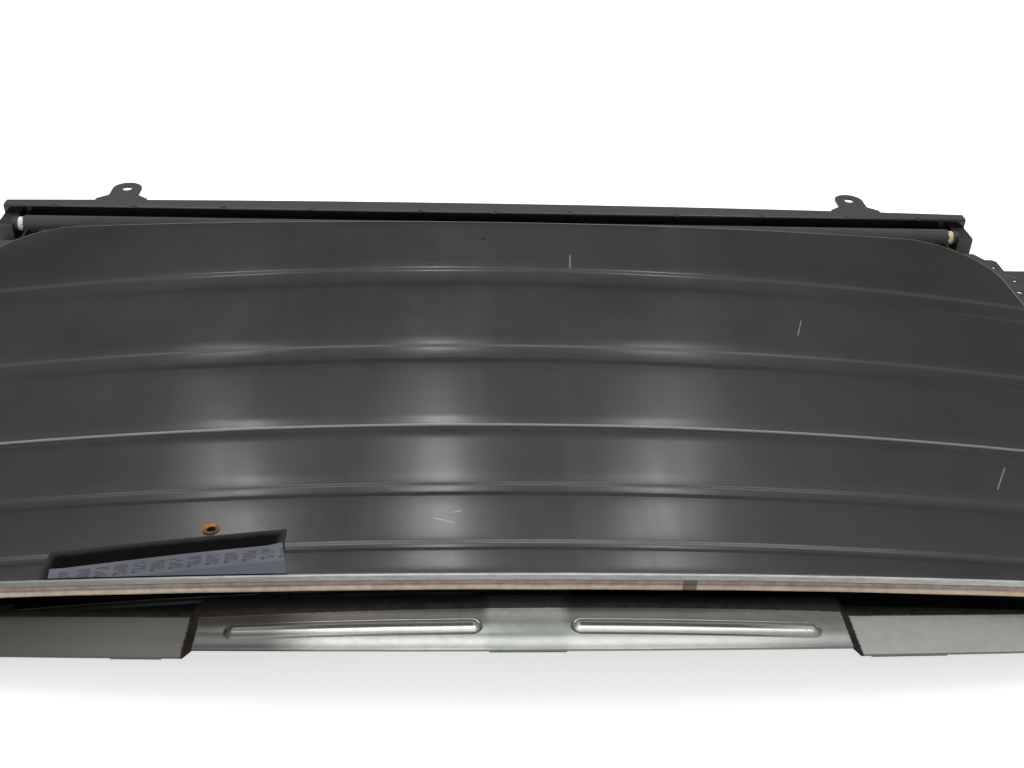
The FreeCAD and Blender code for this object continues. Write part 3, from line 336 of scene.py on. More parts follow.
def galvanised():
    """The front crossmember: painted light across the flange's depth, darker at the left, lighter
    grey-green at the right, and a brown band behind, partly grime and partly painted shade.
    """
    s = Shader("galvanised")
    x, y = s.axes()[:2]
    side = s.sum("ABSOLUTE", x)
    square = s.sum("MULTIPLY", x, x)
    cloud = s.noise(9.0, 5.0)
    fleck = s.noise(150.0, 4.0)
    fine = s.noise(700.0, 3.0)
    outer_field = s.range(side, FIELD, FIELD + 0.001)
    depth = s.sum("SUBTRACT", y, s.sum("MULTIPLY", square, 1 / (2 * FRONT_BOW)))
    depth = s.sum("SUBTRACT", depth, FRONT_EDGE)
    depth_share = s.sum("DIVIDE", depth, FLANGE_DEPTH)
    # Painted light: the brightness steps across the flange's depth stand in for the light and reflections
    # on it.
    light = s.ramp(depth_share, (
        (0.0, linear(192, 195, 188)), (0.36, linear(168, 171, 165)), (0.66, linear(146, 149, 145)),
        (0.82, linear(168, 170, 166)), (0.98, linear(104, 105, 102))))
    foot, wall, crest = bead_marks(s, side, y)
    light = s.mix(crest, light, linear(240, 240, 236))
    light = s.mix(s.sum("MAXIMUM", foot, wall), light, linear(26, 26, 26))
    # Painted reflection: a whitish band between the beads in the middle.
    between_beads = s.ramp(depth_share, (
        (0.09, linear(168, 174, 168)), (0.36, linear(144, 150, 144)), (0.5, linear(166, 172, 166)),
        (0.66, linear(186, 191, 186)), (0.82, linear(232, 235, 232))))
    light = s.mix(s.range(side, 0.018, 0.026, 0.75, 0.0), light, between_beads)
    light = s.mix(s.range(x, 0.110, 0.172), light, linear(157, 160, 155))
    light = s.mix(s.range(x, -0.104, -0.146), light, linear(88, 88, 86))
    left = s.mix(s.range(x, -0.30, -0.20), linear(66, 64, 60), linear(88, 87, 84))
    outer = s.mix(s.range(x, -0.01, 0.01), left, linear(151, 154, 150))
    base = s.mix(outer_field, light, outer)
    base = s.mix(s.range(fleck, 0.3, 0.75, 0.0, 0.16), base, linear(92, 88, 80))
    over, stain_and_shade = stain_and_shade_line(s, x, y, side, square, fine)
    # The brown band: partly real grime, partly painted shade; the near-black further back is painted shade
    # in the gap under the lid.
    grime_and_shade = s.mix(s.range(fleck, 0.35, 0.7), linear(38, 34, 31), linear(24, 19, 17))
    grime_and_shade = s.mix(s.range(over, 0.001, 0.008), grime_and_shade, linear(12, 10, 10))
    base = s.mix(s.sum("MULTIPLY", stain_and_shade, 0.98), base, grime_and_shade)
    # Painted shade: faces that do not look up are painted dark.
    base = s.mix(s.range(s.upward(), 0.3, 0.6, 0.75, 0.0), base, linear(44, 42, 40))
    shine = s.range(side, FIELD, FIELD + 0.001, 0.85, 0.1)
    clean = s.sum("SUBTRACT", 1.0, s.sum("MAXIMUM", stain_and_shade, s.sum("MAXIMUM", crest, wall)))
    rough = s.sum("ADD", s.range(cloud, 0.3, 0.7, 0.22, 0.30), s.sum("MULTIPLY", stain_and_shade, 0.5), True)
    rough = s.sum("ADD", rough, s.sum("MULTIPLY", outer_field, 0.18), True)
    tip = s.sum("MULTIPLY", s.range(depth, 0.0, 0.013), s.range(side, FIELD, FIELD + 0.001, 1.0, 0.2))
    tipped = s.bump(tip, 0.0019)
    normal = s.bump(fine, 0.00015, s.range(stain_and_shade, 0.0, 1.0, 0.03, 0.6), tipped)
    specular = s.range(stain_and_shade, 0.0, 1.0, 0.5, 0.08)
    return s.surface(color=base, rough=rough, metal=s.sum("MULTIPLY", shine, clean), normal=normal,
                     specular=specular)


def metal_finish(name, light, dark, rough_low, rough_high, scale, stretch, metal):
    s = Shader(name)
    cloud = s.noise(scale, 5.0, stretch)
    grain = s.noise(scale * 18, 2.0, stretch)
    base = s.mix(s.range(cloud, 0.3, 0.72), linear(*light), linear(*dark))
    rough = s.sum("ADD", s.range(cloud, 0.3, 0.7, rough_low, rough_high),
                  s.range(grain, 0.3, 0.7, -0.05, 0.05))
    return s.surface(color=base, rough=rough, metal=metal, normal=s.bump(grain, 0.0001, 0.5))


def moulded(name, light, dark, rough_low, rough_high, grain_scale):
    s = Shader(name)
    cloud = s.noise(25.0, 4.0)
    grain = s.noise(grain_scale, 3.0)
    base = s.mix(s.range(cloud, 0.3, 0.7), linear(*light), linear(*dark))
    rough = s.range(cloud, 0.3, 0.7, rough_low, rough_high)
    return s.surface(color=base, rough=rough, normal=s.bump(grain, 0.0001, 0.6))


def tan_seal():
    """Soft seal: brownish pink above and cream below, more orange to the right."""
    s = Shader("tan_seal")
    x, _, z = s.axes()
    height = s.crowned(x, z)
    fleck = s.noise(180.0, 4.0)
    long = s.noise(14.0, 3.0, (1.0, 0.2, 0.2))
    torn = s.sum("MULTIPLY", s.sum("SUBTRACT", long, 0.5), 0.002)
    upper = s.range(s.sum("ADD", height, torn), 0.0612, 0.0640)
    cream = s.mix(s.range(fleck, 0.3, 0.75), linear(222, 206, 186), linear(198, 180, 160))
    cream = s.mix(s.range(x, 0.1, 0.42, 0.0, 0.7), cream, linear(222, 184, 156))
    # Painted shade along the seal's lower curve, where it turns under.
    cream = s.mix(s.range(height, 0.0588, 0.0602, 0.8, 0.0), cream, linear(148, 140, 128))
    brown = s.mix(s.range(fleck, 0.3, 0.7), linear(172, 154, 142), linear(148, 128, 118))
    base = s.mix(upper, cream, brown)
    # Painted shade: a dark band at the top of the seal, under the lid's lip.
    base = s.mix(s.range(height, 0.0664, 0.0668), base, linear(72, 60, 56))
    spot = s.segment((0.0905, -0.287), (0.0955, -0.287), 0.0016)
    base = s.mix(s.sum("MULTIPLY", spot, 0.7), base, linear(60, 54, 50))
    return s.surface(color=base, rough=0.8, normal=s.bump(fleck, 0.0003, 0.5))


def brass():
    """Brass with rust on it; the dark inside the bore is painted shade."""
    s = Shader("brass")
    fleck = s.noise(500.0, 4.0)
    x, _, z = s.axes()
    base = s.mix(s.range(fleck, 0.45, 0.66), linear(146, 104, 52), linear(70, 42, 24))
    # Painted shade inside the bore.
    base = s.mix(s.range(s.crowned(x, z), 0.0702, 0.0712, 0.9, 0.0), base, linear(20, 13, 9))
    rough = s.range(fleck, 0.35, 0.65, 0.3, 0.8)
    metal = s.range(fleck, 0.4, 0.62, 0.9, 0.1)
    return s.surface(color=base, rough=rough, metal=metal, normal=s.bump(fleck, 0.0003, 0.6))


def pad_foam():
    """A black patch that is a painted shadow behind the raised label; its edges fade into the lid."""
    s = Shader("pad_foam")
    x, y = s.axes()[:2]
    fleck = s.noise(650.0, 3.0)
    slow = s.sum("MULTIPLY", s.sum("SUBTRACT", s.noise(90.0, 3.0), 0.5), 0.003)
    (x0, y0), (x1, y1) = SHADOW_PATCH_FAR
    slope = (y1 - y0) / (x1 - x0)
    to_far = s.sum("SUBTRACT", s.sum("ADD", s.sum("MULTIPLY", x, slope), y0 - slope * x0), y)
    inside = s.sum("MINIMUM", s.sum("SUBTRACT", x, x0), s.sum("SUBTRACT", x1, x))
    inside = s.sum("ADD", s.sum("MINIMUM", inside, to_far), slow)
    # Painted shadow: near-black inside, fading to the lid's grey at the edges.
    black = s.mix(s.range(fleck, 0.3, 0.7), linear(5, 5, 5), linear(11, 10, 10))
    base = s.mix(s.range(inside, 0.0, 0.006, 0.95, 0.0), black, linear(50, 49, 49))
    return s.surface(color=base, rough=0.85, normal=s.bump(fleck, 0.0001, 0.4), specular=0.06)


def label_paper():
    """A label sheet with plain bars in twelve blocks and a plain lower band; its paper is painted dull
    grey-blue, painted shade on white paper.
    """
    s = Shader("label_paper")
    x, y = s.axes()[:2]
    (x0, y0), (x1, y1) = LABEL_FAR
    length = math.hypot(x1 - x0, y1 - y0)
    cos, sin = (x1 - x0) / length, (y1 - y0) / length
    dx, dy = s.sum("SUBTRACT", x, x0), s.sum("SUBTRACT", y, y0)
    along = s.sum("ADD", s.sum("MULTIPLY", dx, cos), s.sum("MULTIPLY", dy, sin))
    down = s.sum("SUBTRACT", s.sum("MULTIPLY", dx, sin), s.sum("MULTIPLY", dy, cos))
    share = s.sum("FRACT", s.sum("MULTIPLY", s.sum("SUBTRACT", along, 0.0045), 12 / 0.1215))
    inside = s.sum("MULTIPLY", s.range(share, 0.08, 0.11), s.range(share, 0.80, 0.84, 1.0, 0.0))
    line = s.sum("FRACT", s.sum("MULTIPLY", down, 1 / 0.0015))
    lines = s.sum("MULTIPLY", s.range(line, 0.18, 0.26), s.range(line, 0.78, 0.86, 1.0, 0.0))
    ends = s.range(s.noise(230.0, 0.0, (0.6, 3.0, 1.0)), 0.40, 0.45)
    body = s.sum("MULTIPLY", s.range(down, 0.0028, 0.0031), s.range(down, 0.0110, 0.0113, 1.0, 0.0))
    ink = s.sum("MULTIPLY", s.sum("MULTIPLY", s.sum("MULTIPLY", lines, ends), body), inside)
    heads = s.sum("MULTIPLY", s.range(share, 0.06, 0.09), s.range(share, 0.28, 0.32, 1.0, 0.0))
    heads = s.sum("MULTIPLY", heads, s.sum("MULTIPLY", s.range(down, 0.0096, 0.0099),
                                           s.range(down, 0.0116, 0.0119, 1.0, 0.0)))
    ink = s.sum("MAXIMUM", ink, heads)
    ink = s.sum("MULTIPLY", ink, s.range(along, 0.0040, 0.0044))
    worn = s.noise(50.0, 4.0)
    # Painted shade: the paper is painted a dull grey-blue rather than white.
    paper = s.mix(s.range(worn, 0.3, 0.7), linear(88, 90, 99), linear(76, 79, 88))
    lower = s.range(down, 0.0138, 0.0144)
    paper = s.mix(s.sum("MULTIPLY", lower, 0.8), paper, linear(62, 67, 77))
    base = s.mix(s.sum("MULTIPLY", ink, 0.8), paper, linear(24, 25, 30))
    return s.surface(color=base, rough=0.5, normal=s.bump(worn, 0.0002, 0.3))


def blind_fabric():
    """Fine dark weave, matte."""
    s = Shader("blind_fabric")
    across = s.put("ShaderNodeTexWave", {"Vector": s.where, "Scale": 320.0, "Distortion": 0.6},
                   bands_direction="X").outputs["Fac"]
    along = s.noise(1400.0, 2.0)
    weave = s.sum("ADD", across, along)
    cloud = s.noise(14.0, 4.0)
    base = s.mix(s.range(cloud, 0.3, 0.7), linear(64, 64, 64), linear(57, 57, 57))
    base = s.mix(s.range(weave, 0.4, 1.6, 0.0, 0.3), base, linear(78, 78, 78))
    return s.surface(color=base, rough=0.9, normal=s.bump(weave, 0.00008, 0.5), sheen=0.1,
                     specular=0.25)


# Each metal: light and dark colour, least and greatest roughness, scale and stretch of its clouds, metallic
METALS = {
    "rail_aluminium": ((34, 34, 35), (24, 24, 25), 0.32, 0.45, 26.0, (8.0, 0.5, 8.0), 0.3),
    "plated_steel": ((190, 190, 184), (150, 148, 138), 0.26, 0.4, 40.0, None, 1.0),
    "tube_painted_shade": ((44, 43, 42), (26, 25, 25), 0.45, 0.6, 40.0, None, 0.2),
    "pinion_steel": ((150, 149, 146), (96, 92, 86), 0.22, 0.45, 80.0, None, 1.0),
}
# Each plastic: light and dark colour, least and greatest roughness, scale of its grain
PLASTICS = {
    "black_rubber": ((26, 26, 26), (36, 35, 35), 0.55, 0.75, 700.0),
    "black_plastic": ((30, 30, 31), (40, 39, 39), 0.4, 0.55, 700.0),
    "white_nylon": ((226, 225, 218), (204, 202, 192), 0.35, 0.5, 300.0),
    "aged_nylon": ((216, 200, 158), (190, 166, 112), 0.35, 0.5, 300.0),
}
MATERIALS = {maker.__name__: maker() for maker in (lid_satin, lid_rim, bare_edge, black_ecoat, galvanised,
                                                   tan_seal, brass, pad_foam, label_paper, blind_fabric)}
MATERIALS.update({name: metal_finish(name, *values) for name, values in METALS.items()})
MATERIALS.update({name: moulded(name, *values) for name, values in PLASTICS.items()})
for part in frame["record"]["subparts"]:
    owner = NODES[part["node"]]
    for held in owner.material_slots:
        held.material = MATERIALS[part["material_slot"]]


# Meshes
def new_object(name, mesh, slot_name, body, material=None):
    obj = bpy.data.objects.new(name, mesh)
    bpy.context.scene.collection.objects.link(obj)
    mesh.materials.append(material or MATERIALS[slot_name])
    for polygon in mesh.polygons:
        polygon.use_smooth = True
    if body:
        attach(obj, body)
    return obj


def crown(x):
    return LID_TOP - CROWN + math.sqrt(CROWN ** 2 - x ** 2)


def edge_line(x, middle, bow, inset, side):
    """Y of the lid's near (side -1) or far (side 1) edge with its rounded corners, less an inset."""
    radius = CORNER - inset
    centre_x = LID_HALF - CORNER
    y_line = middle + x * x / (2 * bow) - side * inset
    slope = centre_x / bow
    centre_y = middle + centre_x ** 2 / (2 * bow) - side * CORNER * math.sqrt(1 + slope ** 2)
    start = centre_x - side * radius * math.sin(slope)
    if abs(x) <= start:
        return y_line
    reach = max(radius ** 2 - (abs(x) - centre_x) ** 2, 0.0)
    return centre_y + side * math.sqrt(reach)


def groove_depth(y, grooves):
    for middle, near_wall, floor, far_wall, depth in grooves:
        start = middle - (near_wall + floor + far_wall) / 2
        end = start + near_wall + floor + far_wall
        if start < y < end:
            rise = min((y - start) / near_wall, (end - y) / far_wall, 1.0)
            return depth * rise * rise * (3 - 2 * rise)
    return 0.0


def spread(start, end, count):
    return [start + (end - start) * i / count for i in range(count + 1)]


def lid_rows(near, far, grooves):
    marks = [near]
    for middle, near_wall, floor, far_wall, _ in sorted(grooves):
        start = middle - (near_wall + floor + far_wall) / 2
        far_start = start + near_wall + floor
        marks += spread(start, start + near_wall, 8) + spread(far_start, far_start + far_wall, 8)
    marks.append(far)
    rows = [marks[0]]
    for low, high in zip(marks, marks[1:]):
        steps = max(1, round((high - low) / 0.012))
        rows += spread(low, high, steps)[1:]
    return rows


def swept(name, rings, slot_name, body, caps=True, material=None):
    """A skin over rings of points, each ring as long as the next."""
    verts = [tuple(p) for ring in rings for p in ring]
    count = len(rings[0])
    faces = []
    for i in range(len(rings) - 1):
        for j in range(count):
            a, b = i * count + j, i * count + (j + 1) % count
            faces.append((a, b, b + count, a + count))
    if caps:
        faces.append(tuple(range(count))[::-1])
        faces.append(tuple(range((len(rings) - 1) * count, len(rings) * count)))
    mesh = bpy.data.meshes.new(name)
    mesh.from_pydata(verts, [], faces)
    bm = bmesh.new()
    bm.from_mesh(mesh)
    bmesh.ops.recalc_face_normals(bm, faces=bm.faces)
    bm.to_mesh(mesh)
    bm.free()
    obj = new_object(name, mesh, slot_name, body, material)
    mesh.set_sharp_from_angle(angle=math.radians(50))
    return obj


def joined(name, parts, slot_name, body, material=None):
    """One piece out of several small closed forms: lists of rings, like those swept() takes."""
    bm = bmesh.new()
    for rings in parts:
        rows = [[bm.verts.new(p) for p in ring] for ring in rings]
        count = len(rows[0])
        for a, b in zip(rows, rows[1:]):
            for j in range(count):
                bm.faces.new((a[j], a[(j + 1) % count], b[(j + 1) % count], b[j]))
        bm.faces.new(rows[0][::-1])
        bm.faces.new(rows[-1])
    bmesh.ops.recalc_face_normals(bm, faces=bm.faces)
    mesh = bpy.data.meshes.new(name)
    bm.to_mesh(mesh)
    bm.free()
    obj = new_object(name, mesh, slot_name, body, material)
    mesh.set_sharp_from_angle(angle=math.radians(40))
    return obj


def circle(centre, radius, u, v, count=20):
    points = []
    for i in range(count):
        angle = 2 * math.pi * i / count
        out = math.cos(angle) * Vector(u) + math.sin(angle) * Vector(v)
        points.append(Vector(centre) + radius * out)
    return points


def turned(centre, profile, count=20):
    """Rings of an upright turned form: each step is a radius and a height."""
    return [circle(Vector(centre) + Vector((0, 0, height)), radius, (1, 0, 0), (0, 1, 0), count)
            for radius, height in profile]


def panel_columns(lip):
    """Places across a skin, closer towards the sides, with a pair at each end of the lip."""
    margin = 0.012
    columns = spread(0.0, 0.36, 36) + spread(0.36, LID_HALF - margin, 14)[1:]
    columns += [LID_HALF - ROLL - (margin - ROLL) * (1 - i / 16) ** 2 for i in range(1, 17)]
    if lip:
        columns = sorted(columns + [LIP_HALF - 1e-5, LIP_HALF + 1e-5])
    return [-x for x in reversed(columns[1:])] + columns


def panel_top(bm, near_limit, far_limit, grooves, lip):
    """The upper faces of a skin, on a grid that follows the lid's outline and its grooves."""
    rows = lid_rows(max(near_limit, LID_NEAR - 0.001), min(far_limit, LID_FAR + 0.04), grooves)
    grid = []
    for x in panel_columns(lip):
        low = edge_line(x, LID_NEAR, NEAR_BOW, ROLL, -1)
        if lip and abs(x) < LIP_HALF:
            low += LIP
        low = max(low, near_limit + ROLL)
        high = min(edge_line(x, LID_FAR, FAR_BOW, ROLL, 1), far_limit - ROLL)
        held = [min(max(y, low), high) for y in rows]
        grid.append([bm.verts.new((x, y, crown(x) - groove_depth(y, grooves))) for y in held])
    for a, b in zip(grid, grid[1:]):
        for i in range(len(rows) - 1):
            bm.faces.new((a[i], b[i], b[i + 1], a[i + 1]))
    bmesh.ops.remove_doubles(bm, verts=bm.verts, dist=2e-6)
    bmesh.ops.dissolve_degenerate(bm, dist=1e-6, edges=bm.edges)
    bmesh.ops.recalc_face_normals(bm, faces=bm.faces)
    if sum(f.normal.z for f in bm.faces) < 0:
        bmesh.ops.reverse_faces(bm, faces=bm.faces)
    return list(bm.faces)


def ways_out(rims):
    """For each vertex of the open edges, the direction out of the panel, in plan."""
    outward = {}
    for e in rims:
        a, b = e.verts
        centre = e.link_faces[0].calc_center_median()
        along = b.co - a.co
        normal = Vector((along.y, -along.x, 0.0))
        if normal.dot((a.co + b.co) / 2 - centre) < 0:
            normal = -normal
        for v in (a, b):
            outward[v] = outward.get(v, Vector((0, 0, 0))) + normal
    return {v: normal.normalized() for v, normal in outward.items()}


def skin_panel(name, near_limit, far_limit, grooves, lip):
    """A pressed skin with smooth grooves and a rolled rim, thickness included."""
    bm = bmesh.new()
    top_faces = panel_top(bm, near_limit, far_limit, grooves, lip)
    under = bmesh.ops.duplicate(bm, geom=top_faces)
    twin = dict(under["vert_map"].items())
    low_faces = []
    for element in under["geom"]:
        if isinstance(element, bmesh.types.BMVert):
            element.co.z -= SKIN
        elif isinstance(element, bmesh.types.BMFace):
            low_faces.append(element)
    rims = [e for f in top_faces for e in f.edges if len(e.link_faces) == 1]
    rings, shiny = {}, set()
    for v, normal in ways_out(rims).items():
        ring = [v]
        for k in range(1, 5):
            angle = math.radians(22.5 * k)
            ring.append(bm.verts.new(v.co + normal * ROLL * math.sin(angle)
                                     - Vector((0, 0, ROLL * (1 - math.cos(angle))))))
        ring.append(bm.verts.new(v.co + normal * ROLL - Vector((0, 0, SKIN))))
        ring.append(twin[v])
        rings[v] = ring
        at_parting = lip and v.co.y > far_limit - 0.003
        if not at_parting:
            shiny.add(v)
    bmesh.ops.reverse_faces(bm, faces=low_faces)
    for e in rims:
        a, b = (rings[v] for v in e.verts)
        bright = all(v in shiny for v in e.verts)
        for i in range(len(a) - 1):
            face = bm.faces.new((a[i], b[i], b[i + 1], a[i + 1]))
            # Painted highlight: rim faces away from the parting take the lighter lid_rim material.
            face.material_index = 1 if bright and i < 4 else 0
    bmesh.ops.recalc_face_normals(bm, faces=bm.faces)
    mesh = bpy.data.meshes.new(name)
    bm.to_mesh(mesh)
    bm.free()
    return mesh


def with_hole(mesh, centre, radius):
    """The same mesh with a round hole through it."""
    panel = bpy.data.objects.new("panel", mesh)
    cutter_mesh = bpy.data.meshes.new("cutter")
    bm = bmesh.new()
    bmesh.ops.create_cone(bm, cap_ends=True, segments=36, radius1=radius, radius2=radius, depth=0.02,
                          matrix=Matrix.Translation(centre))
    bm.to_mesh(cutter_mesh)
    bm.free()
    cutter = bpy.data.objects.new("cutter", cutter_mesh)
    for obj in (panel, cutter):
        bpy.context.scene.collection.objects.link(obj)
    cut = panel.modifiers.new("hole", "BOOLEAN")
    cut.operation, cut.solver, cut.object = "DIFFERENCE", "EXACT", cutter
    bpy.context.view_layer.update()
    result = bpy.data.meshes.new_from_object(panel.evaluated_get(bpy.context.evaluated_depsgraph_get()))
    for obj in (panel, cutter):
        bpy.data.objects.remove(obj)
    return result


def lid_panel(name, mesh, node):
    mesh.materials.clear()
    obj = new_object(name, mesh, "lid_satin", "lid")
    mesh.materials.append(MATERIALS["lid_rim"])
    mesh.set_sharp_from_angle(angle=math.radians(40))
    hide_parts(node)


def near_line(x, behind, below):
    """A point near the lid's front edge: so far behind it and so far below the crown."""
    return (x, LID_NEAR + x * x / (2 * NEAR_BOW) + behind, crown(x) - below)


def front_seal():
    """A soft seal under the front lip: two long lobes with a shallow channel between them."""
    profile = [(0.0030, 0.0039), (0.0012, 0.0040), (0.0006, 0.0044), (0.0003, 0.0053), (0.0003, 0.0066),
               (0.0006, 0.0074), (0.0010, 0.0079), (0.0006, 0.0084), (0.0003, 0.0092), (0.0003, 0.0106),
               (0.0007, 0.0115), (0.0016, 0.0121), (0.0040, 0.0122), (0.0072, 0.0120), (0.0074, 0.0040)]
    rings = []
    for x in spread(-LIP_HALF + 0.0006, LIP_HALF - 0.0006, 220):
        sag = 0.00012 * math.sin(31 * x) + 0.00008 * math.sin(83 * x + 1.3)
        rings.append([near_line(x, behind, below + sag * min(1, (below - 0.0038) / 0.004))
                      for behind, below in profile])
    seal = swept("soft_front_seal", rings, "tan_seal", "lid")
    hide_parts("front_seal")


def thin_sheet(name, slot_name, far, near_x, bottom, thickness, lift, node):
    """A thin sheet on the front skin between its far edge and the lid's front lip."""
    columns, rows = 60, 12
    (x0, y0), (x1, y1) = far
    top, low = [], []
    for i in range(columns + 1):
        share = i / columns
        foot_x = near_x[0] + (near_x[1] - near_x[0]) * share
        foot = Vector((foot_x, LID_NEAR + foot_x ** 2 / (2 * NEAR_BOW) + LIP + 0.0003))
        head = Vector((x0 + (x1 - x0) * share, y0 + (y1 - y0) * share))
        for j in range(rows + 1):
            place = foot.lerp(head, j / rows)
            z = crown(place.x) + bottom + lift(share, j / rows)
            top.append((place.x, place.y, z + thickness))
            low.append((place.x, place.y, z))
    stride, count = rows + 1, len(top)
    faces = []
    for i in range(columns):
        for j in range(rows):
            a = i * stride + j
            faces.append((a, a + stride, a + stride + 1, a + 1))
            faces.append(tuple(k + count for k in (a, a + 1, a + stride + 1, a + stride)))
    rim = list(range(stride)) + [i * stride + rows for i in range(1, columns + 1)]
    rim += [columns * stride + j for j in range(rows - 1, -1, -1)]
    rim += [i * stride for i in range(columns - 1, 0, -1)]
    for a, b in zip(rim, rim[1:] + rim[:1]):
        faces.append((a, b, b + count, a + count))
    mesh = bpy.data.meshes.new(name)
    mesh.from_pydata(top + low, [], faces)
    obj = new_object(name, mesh, slot_name, "lid")
    mesh.set_sharp_from_angle(angle=math.radians(40))
    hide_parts(node)


def shadow_patch_and_label():
    """The black patch, a painted shadow behind the label, and the printed label on it with its far corners
    lifting a little.
    """
    def curl(share, up):
        lift = 0.00010 * (1 + math.sin(9 * share + 3 * up)) * up
        lift += 0.0012 * max(0.0, share - 0.93) / 0.07 * max(0.0, up - 0.55) / 0.45
        return lift + 0.0005 * max(0.0, 0.05 - share) / 0.05 * max(0.0, up - 0.5) / 0.5

    def flat(share, up):
        return 0.0

    shadow_patch_x = (SHADOW_PATCH_FAR[0][0], SHADOW_PATCH_FAR[1][0])
    thin_sheet("shadow_patch", "pad_foam", SHADOW_PATCH_FAR, shadow_patch_x, 0.00002, 0.0006, flat, "dark_pad")
    thin_sheet("printed_label", "label_paper", LABEL_FAR, LABEL_NEAR_X, 0.0007, 0.0003, curl,
               "label_sheet")


def bush():
    """The brass bush's flange, a chamfer worn by the screw, and a threaded bore."""
    top = crown(BUSH_X) + 0.0009
    profile = [(BUSH_RADIUS - 0.0001, -0.0026), (BUSH_RADIUS - 0.0001, -0.0008), (0.0046, -0.0005),
               (0.0050, -0.0003), (0.0049, 0.0), (0.0042, 0.0), (0.0031, -0.0007)]
    for turn in range(5):
        profile += [(0.0026, -0.0009 - 0.00036 * turn), (0.0029, -0.00108 - 0.00036 * turn)]
    profile.append((0.0026, -0.0026))
    rings = turned((BUSH_X, BUSH_Y, top), profile + profile[:1], count=40)
    obj = swept("threaded_insert", rings, "brass", "lid", caps=False)
    bm = bmesh.new()
    bm.from_mesh(obj.data)
    bmesh.ops.remove_doubles(bm, verts=bm.verts, dist=1e-7)
    bmesh.ops.recalc_face_normals(bm, faces=bm.faces)
    bm.to_mesh(obj.data)
    bm.free()
    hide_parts("threaded_bush")


def make_lid():
    half_gap = PARTING_WIDTH / 2
    rear = skin_panel("rear_panel", PARTING + half_gap, 1.0, REAR_GROOVES, False)
    lid_panel("rear_panel", rear, "lid_rear_skin")
    front = skin_panel("front_panel", -1.0, PARTING - half_gap, FRONT_GROOVES, True)
    front = with_hole(front, Vector((BUSH_X, BUSH_Y, crown(BUSH_X))), BUSH_RADIUS)
    lid_panel("front_panel", front, "lid_front_skin")
    front_seal()
    shadow_patch_and_label()
    bush()


# Fixed frame details
def flange_height(x):
    drop = CROWN - math.sqrt(CROWN ** 2 - x ** 2)
    return FLANGE_TOP - drop - (FLANGE_STEP if abs(x) > FIELD + STEP_RUN else 0.0)


def flange_edge(x):
    return FRONT_EDGE + x * x / (2 * FRONT_BOW)


def edge_tabs():
    """Short tabs bent down under the near edge of the front flange."""
    section = [(0.0002, 0.0002), (0.0014, 0.0002), (0.0014, -0.0010), (0.0010, -0.0014),
               (0.0005, -0.0013), (0.0002, -0.0009)]
    parts = []
    for start, end in ((-0.226, -0.198), (-0.021, 0.021), (0.193, 0.238)):
        rings = []
        for x in spread(start, end, 8):
            y, z = flange_edge(x), flange_height(x) - 0.0015
            rings.append([(x, y + dy, z + dz) for dy, dz in section])
        parts.append(rings)
    # The tabs take the black plastic finish: painted shade, the dark line under the flange's near edge.
    joined("edge_tabs", parts, "galvanised", "frame", MATERIALS["black_plastic"])


def weld_spots():
    """Spot-weld marks along the fold of the rear crossmember: a low ring of metal round a small pit."""
    parts = []
    along = Vector((0, -math.sqrt(0.5), math.sqrt(0.5)))
    side = Vector((0, math.sqrt(0.5), math.sqrt(0.5)))
    middle = Vector((0, FOLD_Y + 0.00066, FOLD_Z - 0.00066))
    for number, x in enumerate(WELDS):
        rings = []
        for radius, height in ((0.0032, -0.0004), (0.0029, 0.0002), (0.0021, 0.0005), (0.0012, 0.0003),
                               (0.0006, -0.0001)):
            ring = []
            for i in range(18):
                angle = 2 * math.pi * i / 18
                wobble = 1 + 0.16 * math.sin(3 * angle + 1.7 * number)
                wobble += 0.08 * math.sin(5 * angle + number)
                flat = Vector((1.15, 0, 0)) * math.cos(angle) + side * math.sin(angle) * 0.62
                ring.append(middle + Vector((x, 0, 0)) + flat * radius * wobble + along * height)
            rings.append(ring)
        parts.append(rings)
    joined("weld_spots", parts, "black_ecoat", "frame")


def plate_details():
    """Rivets that hold the side plates on the rails, and the small pressed ridge near their holes."""
    rivets, screws = [], []
    ridge = ((0.4600, 0.1730), (0.4627, 0.1725), (0.4716, 0.1699), (0.4765, 0.1645), (0.4795, 0.1605))
    dome = [(0.0026, -0.0001), (0.0026, 0.0002), (0.0022, 0.0006), (0.0014, 0.0009), (0.0005, 0.0010)]
    for side in (-1, 1):
        for y in (-0.205, -0.14, -0.075, -0.01, 0.055, 0.12, 0.175):
            rivets.append(turned((side * 0.4445, y, PLATE_Z), dome, count=14))
        line = [Vector((side * x, y, PLATE_Z)) for x, y in ridge]
        rings = []
        for i, point in enumerate(line):
            ahead = (line[min(i + 1, len(line) - 1)] - line[max(i - 1, 0)]).normalized()
            across = Vector((-ahead.y, ahead.x, 0))
            size = 0.0004 if 0 < i < len(line) - 1 else 0.0001
            rings.append([point + across * 0.0007 - Vector((0, 0, 0.0001)), point + across * 0.0003
                          + Vector((0, 0, size)), point - across * 0.0003 + Vector((0, 0, size)),
                          point - across * 0.0007 - Vector((0, 0, 0.0001))])
        swept("plate_ridge_" + ("left" if side < 0 else "right"), rings, "black_ecoat", "frame")
        for x, y in ((0.3868, -0.2402), (0.4312, -0.2402)):
            screws += screw_head((side * x, y, 0.018))
    joined("plate_rivets", rivets, "plated_steel", "frame")
    joined("corner_screws", screws, "plated_steel", "frame")


